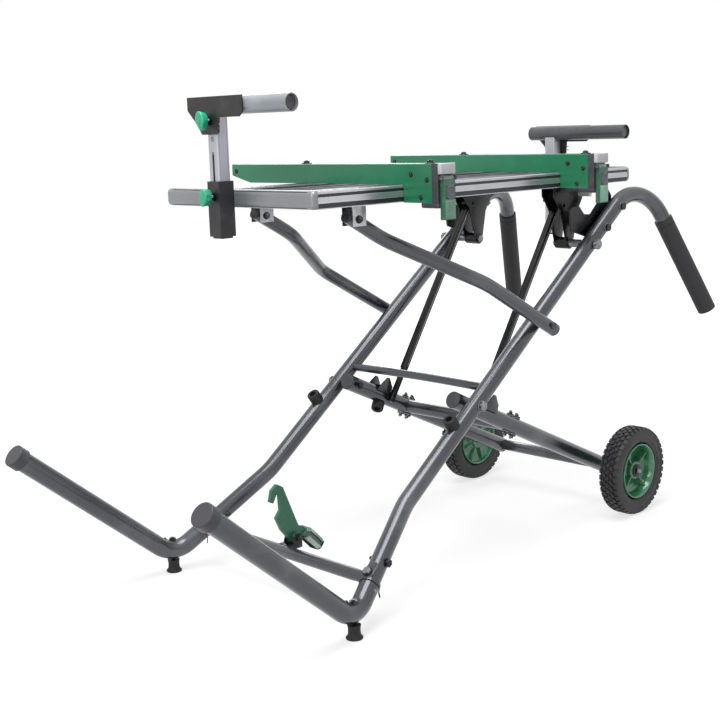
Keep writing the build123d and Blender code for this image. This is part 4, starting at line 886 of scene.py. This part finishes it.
# height above the rail's foot and depth behind its outer face, from the top bead downwards
outer_steps = ((31.0, 0.4), (27.6, 0.0), (26.8, 1.3), (22.0, 1.3), (21.2, 0.7), (10.6, 0.0),
               (9.8, 1.3), (2.0, 1.3), (1.4, 0.2))
for label, side in front_rear:
    low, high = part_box(f"rail_{label}")
    centre = (low + high) / 2
    half = (high - low) / 2
    rail = block(high - low)
    select(rail, lambda c, n: abs(n.x) > 0.9)
    bpy.ops.mesh.delete(type="FACE")
    cut_across(2, *(up / 1000 - half.z for up, deep in outer_steps))
    for up, deep in outer_steps + ((33.0, 2.4), (0.0, 0.6)):
        select(rail, lambda c: c.y * side > half.y - 1e-4 and abs(c.z + half.z - up / 1000) < 1e-4,
               "VERT")
        bpy.ops.transform.translate(value=(0, -side * deep / 1000, 0))
    bpy.ops.object.mode_set(mode="OBJECT")
    select(rail, lambda a, b: abs(a.x - b.x) > 0.5 and a.y * side < 0, "EDGE")
    bpy.ops.mesh.bevel(offset=0.003, segments=4, affect="EDGES")
    select(rail, lambda a, b: abs(a.x - b.x) > 0.5 and a.y * side > half.y - 0.003, "EDGE")
    bpy.ops.mesh.bevel(offset=0.0003, segments=2, affect="EDGES")
    bpy.ops.object.mode_set(mode="OBJECT")
    wall = rail.modifiers.new("wall", "SOLIDIFY")
    wall.thickness = 0.0013
    wall.offset = -1
    bpy.ops.object.modifier_apply(modifier="wall")
    rail.location = centre
    fit(rail, f"drawn_rail_{label}", "table", drawn, "rail_silver", 30)
    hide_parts(f"rail_{label}")
    # dark strips laid into the grooves and the hollow, and a band along the top: painted shade
    for part, up, tall in (("groove", 24.4, 4.6), ("channel", 5.9, 7.6)):
        strip = brick(((high.x - low.x) * 1000 - 2, 0.8, tall), 0.15, 1)
        strip.location = Vector((centre.x, centre.y + side * (half.y - 0.0012), low.z + up / 1000))
        fit(strip, f"rail_{part}_{label}", "table", rail_painted_shade, "rail_silver", 30)
    top_painted_shade = brick(((high.x - low.x) * 1000 - 2, 25.0, 0.8), 0.2, 1)
    top_painted_shade.location = Vector((centre.x, centre.y, high.z + 0.0001))
    fit(top_painted_shade, f"rail_flute_{label}", "table", rail_painted_shade, "rail_silver", 30)

# Black folded pivot brackets hang under the rails: a web, two cheeks that taper down to a
# boss on the table pivot, and lock rods that stand out towards the legs, painted near white
# as painted light.
slide_y = 130.0
# the lock rods' steel is painted far lighter than zinc: painted light that lifts them out of their
# shade
rod_painted_light = finish("rod_painted_light", (226, 226, 230), (212, 212, 217), (196, 196, 200), 0.4, 0.25,
                    0.40, grain=600, patch=80, bump=0.08)
cheek_line = ((763.0, 755.0), (763.0, 737.0), (787.0, 705.0), (808.0, 631.0), (834.0, 631.0),
              (847.0, 695.0), (868.0, 727.0), (872.0, 745.0), (922.0, 747.0), (922.0, 755.0))
for label, side in front_rear:
    for number, shift in enumerate((15.5, -15.5)):
        cheek = cut_plate([spot(x, 0, z) for x, z in cheek_line], 3.0)
        cheek.location = (0, mid_y + (side * slide_y + shift) / 1000, 0)
        fit(cheek, f"pivot_cheek_{label}_{number}", "table", plate_black, "black_metal", 40)
        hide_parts("pivot_brackets")
    web = brick((159.0, 28.4, 2.6), 0.6, 2)
    web.location = spot(842.5, side * slide_y, 753.6)
    fit(web, f"pivot_web_{label}", "table", plate_black, "black_metal", 40)
    boss = turned([(12.4, -17.4), (13.0, -16.8), (13.0, 16.8), (12.4, 17.4)],
                  spot(821.0, side * slide_y, 630.94), (0, 1, 0), 36)
    fit(boss, f"pivot_boss_{label}", "table", plate_black, "black_metal", 40)
    out = Vector((0, side, 0))
    rod = turned([(5.3, 0), (5.3, 30.0), (4.4, 31.0)], spot(855.0, side * 147.5, 737.0), out, 24)
    fit(rod, f"lock_rod_{label}", "table", rod_painted_light, "bolt_steel", 40)

# ------------------------------------------------------------------ brace slides and links
# A bright plate and a black one slide along under each rail and carry the brace between
# them. The links are slim black bars, one part sliding in the other, with a painted
# highlight: a bright strip down the outer face.
bright_sheet = finish("bright_sheet", (188, 188, 190), (170, 170, 174), (150, 150, 152), 0.8,
                      0.28, 0.42, grain=300, patch=60, stretch=(1, 1, 0.1), bump=0.1)
pin_x, pin_z = 163.0, 731.0
for label, side in front_rear:
    out = Vector((0, side, 0))
    for where, shift, wide, skin_here in (("near", -16.0, 34.0, bright_sheet),
                                          ("far", 16.0, 26.0, plate_black)):
        sheet_plate = brick((wide, 2.6, 37.0), 1.1, 2)
        select(sheet_plate, lambda a, b: a.z < -0.016 and b.z < -0.016 and abs(a.x - b.x) < 1e-4,
               "EDGE")
        bpy.ops.mesh.bevel(offset=0.003, segments=3, affect="EDGES")
        bpy.ops.object.mode_set(mode="OBJECT")
        sheet_plate.location = spot(166.0, side * slide_y + shift, 736.2)
        fit(sheet_plate, f"slide_plate_{label}_{where}", "brace_slider", skin_here, "silver_paint", 40)
        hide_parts("brace_sliders")
    slide_pin = turned([(4.0, 0), (4.0, 40.0)], spot(pin_x, side * slide_y - 18.0, pin_z),
                       (0, 1, 0), 20)
    fit(slide_pin, f"slide_pin_{label}", "brace_slider", dark_steel, "bolt_steel", 40)
    washer(f"slider_washer_{label}", spot(pin_x, side * slide_y - 17.2, pin_z), (0, -1, 0), 7.8,
           "brace_slider", dark_steel)
    crowned_nut(f"slider_bolt_{label}", spot(pin_x, side * slide_y - 18.6, pin_z), (0, -1, 0), 6.4,
                4.4, "brace_slider", dark_steel)
link_black = finish("link_black", (20, 20, 22), (15, 15, 16), (40, 40, 43), 0.3, 0.22, 0.36,
                    grain=1200, patch=18, bump=0.16)
bar_grey = finish("link_bar_steel", (28, 28, 30), (22, 22, 24), (60, 60, 63), 0.5, 0.24,
                  0.4, grain=700, patch=40, stretch=(0.2, 1, 0.2), bump=0.1)
link_top = spot(800.0, 0, 715.0)
link_foot = on_arm(106.0)
link_run = (link_foot - link_top).normalized()
link_rise = Vector((-link_run.z, 0, link_run.x))
link_y = 0.1255
for label, side in front_rear:
    for part, node, owner, start, end, wide, deep, skin_here in (
            ("channel", "link_channels", "link_channel", -10.0, 430.0, 13.0, 15.0, link_black),
            ("bar", "link_bars", "link_bar", 262.0, 512.0, 10.0, 12.0, bar_grey)):
        piece = brick((wide, deep, end - start), 1.6, 3)
        piece.rotation_euler = (0, atan2(link_run.x, link_run.z), 0)
        piece.rotation_euler.rotate_axis("Z", pi / 2)
        piece.location = link_top + link_run * (start + end) / 2000 + Vector((0, side * link_y, 0))
        fit(piece, f"link_{part}_{label}", owner, skin_here, "black_metal", 30)
        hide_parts(node)
    # a painted highlight: a bright strip down the outer face of the channel
    highlight_strip = brick((1.6, 1.0, 420.0), 0.4, 1)
    highlight_strip.rotation_euler = (0, atan2(link_run.x, link_run.z), 0)
    highlight_strip.location = (link_top + link_run * 0.212 + link_rise * 0.0022
                     + Vector((0, side * link_y - 0.0064, 0)))
    fit(highlight_strip, f"link_painted_highlight_{label}", "link_channel", zinc, "bolt_steel", 30)

# ------------------------------------------------------------------ saw brackets
# Two folded steel channels, painted green, lie across the rails. Dark button screws hold
# the clamp inside; a grey moulded cap and a bright block close the front end.
green = finish("bracket_green", (30, 128, 88), (26, 120, 82), (40, 140, 100), 0.0, 0.30, 0.40,
               grain=1300, patch=8, bump=0.12, coat=0.35)
trim_grey = finish("cap_grey", (68, 68, 76), (58, 58, 65), (84, 84, 91), 0.0, 0.42, 0.54,
                   grain=700, patch=50, bump=0.25)
block_bright = finish("block_bright", (226, 225, 230), (214, 213, 219), (204, 204, 209), 0.1,
                      0.34, 0.46, grain=400, patch=70, bump=0.10)
# the lever's green, darkened as painted shade for its shaded sides
lever_green_painted_shade = finish("lever_green_painted_shade", (62, 118, 90), (54, 108, 80), (80, 134, 107), 0.0, 0.26,
                     0.40, grain=600, patch=40, bump=0.08, coat=0.3)
lever_skin = lever_green_painted_shade.node_tree.nodes["Principled BSDF"]
lever_skin.inputs["Transmission Weight"].default_value = 0.12
lever_skin.inputs["IOR"].default_value = 1.46
# paler greens for the pad and the sloping top: painted light on the lit front and top, the right
# lever's lighter than the left's
painted_light_pads = {
    side_name: finish(f"pad_green_painted_light_{side_name}", tone, [v - 14 for v in tone], [v + 12 for v in tone],
                      0.0, 0.28, 0.42, grain=420, patch=60, bump=0.2, coat=0.2)
    for side_name, tone in (("left", (126, 176, 150)), ("right", (158, 218, 188)))}
button_grey = finish("button_grey", (112, 113, 122), (98, 99, 107), (128, 129, 137), 0.0, 0.36,
                     0.46, grain=500, patch=90, bump=0.2)
bracket_wide = 40
for label, x0 in (("left", 284.0), ("right", 784.0)):
    body = f"saw_bracket_{label}"
    coat_nodes(green, body)
    coat_nodes(trim_grey, f"bracket_trim_{label}")
    mid_x = x0 + bracket_wide / 2
    number = 0
    for y, z in ((-168.0, 807.0), (-208.0, 797.0), (-192.0, 764.0), (346.0, 812.0)):
        for side, face_x in ((-1, x0), (1, x0 + bracket_wide)):
            number += 1
            at, out = spot(face_x, y, z), Vector((side, 0, 0))
            ring = turned([(5.4, -0.3), (5.4, 0.3), (4.8, 0.7)], at, out, 24)
            fit(ring, f"screw_ring_{label}_{number}", body, dark_steel, "bolt_steel", 30)
            head = turned([(4.0, 0), (4.0, 0.9), (3.6, 1.9), (2.7, 2.5), (1.9, 2.6)],
                          at + out * 0.0004, out, 20)
            recess(head, at + out * 0.0030, out, 0.1, 1.2)
            fit(head, f"button_screw_{label}_{number}", body, dark_steel, "bolt_steel", 60)

    # bright block over the front of the cap, and the cap's lip under the green drop
    cover = brick((40.4, 9.6, 20.0), 1.4)
    cover.location = spot(mid_x, -239.8, 817.4)
    fit(cover, f"end_block_{label}", body, block_bright, "silver_paint", 40)
    lip = brick((41.2, 44.0, 11.0), 3.4, 4)
    lip.location = spot(mid_x, -214.2, 750.0)
    fit(lip, f"cap_lip_{label}", body, trim_grey, "plastic_black", 40)
    slab = brick((41.2, 14.8, 70.0), 1.2)
    slab.location = spot(mid_x, -228.2, 790.0)
    fit(slab, f"cap_frame_{label}", body, trim_grey, "plastic_black", 40)

    # grey guide block inside the channel behind the rear rail
    guide = brick((33.0, 124.0, 14.0), 2.0)
    guide.location = spot(mid_x, 236.0, 796.5)
    fit(guide, f"guide_block_{label}", body, trim_grey, "plastic_black", 40)

    # saw bolts: broad washer and crowned hexagon nut on the channel's top
    for spot_y, where in ((-200.0, "front"), (142.0, "rear")):
        at = spot(mid_x, spot_y, 827.0)
        washer(f"saw_washer_{label}_{where}", at + Vector((0, 0, 0.0002)), (0, 0, 1), 11.0, body,
               dark_steel)
        crowned_nut(f"saw_nut_{label}_{where}", at + Vector((0, 0, 0.0016)), (0, 0, 1), 6.6, 4.2,
                    body, dark_steel)

    # two small lugs and the pin on which the lever hangs
    for side in (-1, 1):
        lug = brick((2.4, 12.0, 8.4), 1.0)
        lug.location = spot(mid_x + side * 18.75, -242.0, 800.2)
        fit(lug, f"lever_lug_{label}_{side + 2}", body, trim_grey, "plastic_black", 40)
        if side < 0:
            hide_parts(f"lever_ears_{label}")
    pivot = turned([(2.4, 0), (2.4, 39.0), (1.8, 40.0)], spot(x0, -244.0, 799.5), (1, 0, 0), 16)
    fit(pivot, f"lever_pin_{label}", body, zinc, "bolt_steel", 40)

    # the lever: a deep paddle with a sloping top, a pocket for the button and a framed pad.
    # The paddle is painted darker as painted shade; the pad and the top are painted paler as painted
    # light.
    low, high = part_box(f"clamp_lever_{label}")
    low, high = Vector((low.x + 0.001, low.y + 0.004, low.z)), Vector((high.x - 0.001, high.y, high.z))
    half = (high - low) / 2
    lever = block(high - low)
    pocket_low, pocket_high, pocket_left, pocket_wall = 0.7617, 0.7862, 0.0066, 0.0012
    bpy.ops.object.mode_set(mode="EDIT")
    lever_z = (low.z + high.z) / 2
    cut_across(2, pocket_low - lever_z, pocket_high - lever_z)
    cut_across(0, pocket_left - half.x, half.x - pocket_wall)
    select(lever, lambda c: c.z > half.z - 1e-4 and c.y < 0, "VERT")
    bpy.ops.transform.translate(value=(0, 0.0015, -0.0075))
    select(lever, lambda a, b: abs(a.z - b.z) > 0.02 and abs(a.x) > half.x - 1e-4
           and abs(b.x) > half.x - 1e-4, "EDGE")
    bpy.ops.mesh.bevel(offset=0.0012, segments=2, affect="EDGES")
    select(lever, lambda a, b: a.z < -half.z + 1e-4 and b.z < -half.z + 1e-4
           and abs(a.y - b.y) > 0.005, "EDGE")
    bpy.ops.mesh.bevel(offset=0.0075, segments=5, affect="EDGES")
    select(lever, lambda c, n: n.y < -0.9 and pocket_low < c.z + lever_z < pocket_high
           and pocket_left - half.x < c.x < half.x - pocket_wall)
    pull(0, 0.0050, 0)
    bpy.ops.object.mode_set(mode="OBJECT")
    lever.location = (low + high) / 2
    fit(lever, f"lever_paddle_{label}", f"clamp_lever_{label}", lever_green_painted_shade, "green_plastic", 30)
    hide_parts(f"clamp_lever_{label}")
    pad = brick((29.0, 1.4, 35.0), 0.6)
    for step in range(7):
        ridge = brick((24.0, 0.9, 1.1), 0.3, 1)
        ridge.data.transform(Matrix.Translation((0, -0.0009, (step - 3) * 0.0042)))
        joined(pad, [ridge])
    pad.location = Vector(((low.x + high.x) / 2 + 0.0010, low.y + 0.0004, low.z + 0.0195))
    fit(pad, f"lever_pad_{label}", f"clamp_lever_{label}", painted_light_pads[label], "green_plastic", 30)
    # the sloping top, painted pale as painted light where the light falls on it
    roof = brick((30.0, 9.4, 1.2), 0.5)
    roof.rotation_euler = (radians(38), 0, 0)
    roof.location = Vector(((low.x + high.x) / 2, (low.y + high.y) / 2 + 0.0006, high.z - 0.0036))
    fit(roof, f"lever_top_{label}", f"clamp_lever_{label}", painted_light_pads[label], "green_plastic", 30)

    # the release button, almost flush in the pocket
    low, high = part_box(f"lever_button_{label}")
    middle = (low + high) / 2
    press = brick(((high.x - low.x) * 1000 - 1.8, 4.6, 22.5), 1.5, 4)
    select(press, lambda c, n: n.y < -0.9 and abs(c.x) < 0.004)
    bpy.ops.mesh.inset(thickness=0.0018, depth=0.0)
    bpy.ops.mesh.inset(thickness=0.0006, depth=-0.0006)
    bpy.ops.object.mode_set(mode="OBJECT")
    press.location = Vector((middle.x + 0.0006, low.y + 0.0118, 0.77395))
    fit(press, f"release_button_{label}", f"lever_button_{label}", button_grey, "plastic_grey", 40)
    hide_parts(f"lever_button_{label}")

# ------------------------------------------------------------------ extensions
# Each pull-out support is an aluminium cross bar and two arms, a black socket, a square
# post in clear anodised section, a round support tube, a black stop plate and two knobs.
bar_silver = finish("bar_aluminium", (150, 152, 157), (144, 146, 151), (158, 160, 165), 0.42, 0.34,
                    0.38, grain=420, patch=6, stretch=(1, 0.02, 1), bump=0.04, deep=0.0002)
post_silver = finish("post_aluminium", (198, 197, 206), (190, 189, 199), (206, 205, 213), 0.45,
                     0.28, 0.34, grain=420, patch=10, stretch=(1, 1, 0.02), bump=0.05)
support_grey = finish("support_grey", (158, 163, 169), (146, 151, 157), (172, 177, 182), 0.3, 0.36,
                      0.46, grain=900, patch=10, bump=0.1, coat=0.15)
# a darker copy of the support grey: painted shade for the right support tube
support_painted_shade = finish("support_painted_shade", (84, 86, 89), (74, 76, 79), (98, 100, 103), 0.3, 0.34,
                      0.46, grain=900, patch=10, bump=0.1, coat=0.15)
# a pale copy of the plug grey: painted light for the right plugs
plug_painted_light = finish("support_cap_painted_light", (176, 176, 184), (160, 160, 168), (190, 190, 196), 0.1, 0.4,
                   0.5, grain=600, patch=60, bump=0.2)
socket_black = finish("socket_black", (50, 50, 52), (42, 42, 44), (70, 70, 72), 0.1, 0.42, 0.55,
                      grain=1000, patch=24, bump=0.22)
stop_black = finish("stop_plate_black", (50, 50, 49), (43, 43, 43), (68, 68, 67), 0.15, 0.4, 0.52,
                    grain=1200, patch=18, bump=0.2)
knob_green = finish("knob_green", (42, 200, 148), (36, 188, 138), (60, 212, 164), 0.0, 0.24, 0.34,
                    grain=500, patch=60, bump=0.05, coat=0.4)
# a dark copy of the plug grey: painted shade for the left plugs, whose faces sit in shade
plug_painted_shade = finish("support_plug", (104, 102, 110), (92, 90, 98), (118, 116, 124), 0.0, 0.42,
                    0.52, grain=600, patch=60, bump=0.2)
for label, side in (("left", -1), ("right", 1)):
    body = f"extension_{label}"
    coat_nodes(bar_silver, body)
    coat_nodes(socket_black, f"post_socket_{label}")
    coat_nodes(stop_black, f"stop_plate_{label}")

    # the support tube, open at both ends, with a plug pushed a little way in. The right tube is
    # painted darker as painted shade; the left plugs are painted dark as painted shade and the right
    # plugs pale as painted light.
    low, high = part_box(f"support_tube_{label}")
    centre = Vector(((low.x + high.x) / 2, mid_y + 0.0135, (low.z + high.z) / 2))
    reach = 136.5
    round_tube = turned([(15.4, -reach), (16.5, -reach + 0.9), (16.5, -reach / 3), (16.5, reach / 3),
                         (16.5, reach - 0.9), (15.4, reach)], centre, (0, 1, 0), 56)
    for way in (-1, 1):
        out = Vector((0, way, 0))
        recess(round_tube, centre + out * reach / 1000, out, 0.5, 9)
    fit(round_tube, f"round_support_{label}", f"post_{label}",
        support_grey if side < 0 else support_painted_shade, "silver_paint", 40)
    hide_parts(f"support_tube_{label}")
    for where, way in front_rear:
        out = Vector((0, way, 0))
        plug = turned([(14.4, 0), (14.4, 1.6), (13.4, 2.4), (11.8, 2.4), (11.2, 1.4), (6.0, 1.0)],
                      centre + out * (reach - 9.4) / 1000, out, 48)
        fit(plug, f"support_plug_{label}_{where}", f"post_{label}",
            plug_painted_shade if side < 0 else plug_painted_light, "plastic_grey", 40)

    # the square post: a drawn section with a locking slot and fine lines down its sides
    low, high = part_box(f"post_{label}")
    middle = (low + high) / 2
    half = (high - low) / 2
    post = block(high - low)
    select(post, lambda a, b: abs(a.z - b.z) > 0.1, "EDGE")
    bpy.ops.mesh.bevel(offset=0.0028, segments=4, affect="EDGES")
    slot_low, slot_high = 0.020 - half.z, 0.158 - half.z
    cut_across(1, -0.0031, 0.0031)
    cut_across(2, slot_low, slot_high)
    cut_across(0, -0.0100, -0.0093, 0.0093, 0.0100)
    select(post, lambda c, n: n.x * side > 0.9 and abs(c.y) < 0.0030 and slot_low < c.z < slot_high)
    pull(-side * 0.0030, 0, 0)
    select(post, lambda c, n: abs(n.y) > 0.9 and 0.0093 < abs(c.x) < 0.0100 and abs(c.y) > 0.013)
    bpy.ops.mesh.extrude_region_shrink_fatten(TRANSFORM_OT_shrink_fatten={"value": -0.0008})
    bpy.ops.object.mode_set(mode="OBJECT")
    post.location = middle + Vector((0, 0, 0.004))
    fit(post, f"slotted_post_{label}", f"post_{label}", post_silver, "silver_paint", 30)
    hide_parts(f"post_{label}")
    face_x = low.x if side < 0 else high.x
    # a black strip at the bottom of the slot: painted shade for the slot's dark inside
    slot_shade_strip = brick((1.0, 5.8, (slot_high - slot_low) * 1000 - 1), 0.3, 1)
    slot_shade_strip.location = Vector((face_x - side * 0.0024, middle.y, middle.z + (slot_low + slot_high) / 2))
    fit(slot_shade_strip, f"post_slot_painted_shade_{label}", f"post_{label}", plate_black, "plastic_black", 30)
    foot_plug = brick((27.8, 27.8, 8.0), 1.6)
    foot_plug.location = Vector((middle.x, middle.y, low.z + 0.0041))
    fit(foot_plug, f"post_foot_plug_{label}", f"post_{label}", socket_black, "plastic_black", 30)
    dimple = turned([(5.0, -0.4), (5.0, 0.3), (4.2, 0.9), (2.6, 1.3), (1.2, 1.4)],
                    Vector((face_x, middle.y, high.z - 0.047)), (side, 0, 0), 28)
    fit(dimple, f"post_button_{label}", f"post_{label}", zinc, "silver_paint", 60)

    # wing knobs: one broad lobe on a short dark hub, with the stud's end showing
    plate_low, plate_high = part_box(f"stop_plate_{label}")
    for which, owner, wide, deep, tall, twist in (
            ("post", f"post_knob_{label}", 22.0, 18.0, 35.0, -10.0),
            ("stop", f"stop_knob_{label}", 24.0, 16.0, 38.0, 12.0)):
        low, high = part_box(owner)
        middle = (low + high) / 2
        inner_x = plate_low.x if side < 0 else plate_high.x
        if which == "post":
            socket_low, socket_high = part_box(f"post_socket_{label}")
            inner_x = socket_low.x if side < 0 else socket_high.x
        root = Vector((inner_x, middle.y, middle.z))
        hub_deep = 9.0 if which == "post" else 7.0
        hub_part = turned([(7.5, 0.1), (8.5, 1.0), (8.5, 3.0), (5.2, 4.0), (5.2, hub_deep),
                           (6.5, hub_deep + 2.0)], root, (side, 0, 0), 28)
        fit(hub_part, f"knob_hub_{which}_{label}", owner, dark_steel, "bolt_steel", 30)
        bpy.ops.object.select_all(action="DESELECT")
        bpy.ops.mesh.primitive_cylinder_add(vertices=48, radius=0.5, depth=1, location=(0, 0, 0),
                                            rotation=(0, pi / 2, 0), end_fill_type="NGON")
        knob = bpy.context.object
        bpy.ops.object.transform_apply(location=True, rotation=True, scale=True)
        for corner in knob.data.vertices:
            x, y, z = corner.co
            point = 1 - (0.62 if which == "stop" else 0.25) * max(0.0, -2 * z) ** 1.4
            flare = 1.0 if x * side > 0 else 0.84
            corner.co = Vector((x * deep, y * wide * point * flare, z * tall * flare)) / 1000
        select(knob, lambda c, n: abs(n.x) > 0.9)
        bpy.ops.mesh.bevel(offset=0.0030, segments=5, affect="EDGES")
        bpy.ops.object.mode_set(mode="OBJECT")
        knob.rotation_euler = (radians(twist) * side, 0, 0)
        knob.location = root + Vector((side * (hub_deep + deep / 2 + 0.5) / 1000, 0, 0))
        fit(knob, f"wing_{which}_{label}", owner, knob_green, "green_plastic", 40)
        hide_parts(owner)
        tip = turned([(2.6, 0), (2.6, 1.2), (1.8, 2.0), (0.8, 2.2)],
                     root + Vector((side * (hub_deep + 2.0) / 1000, -wide / 2000 + 0.0008, 0.002)),
                     (0, -1, 0), 16)
        fit(tip, f"knob_stud_{which}_{label}", owner, zinc, "bolt_steel", 60)
    for number, up in enumerate((0.011, 0.019)):
        nib = turned([(1.7, 0), (1.7, 0.5), (1.1, 0.9)],
                     Vector((plate_low.x if side < 0 else plate_high.x, plate_low.y + 0.066,
                             plate_low.z + up)), (side, 0, 0), 14)
        fit(nib, f"plate_rivet_{label}_{number}", f"stop_plate_{label}", zinc, "bolt_steel", 60)
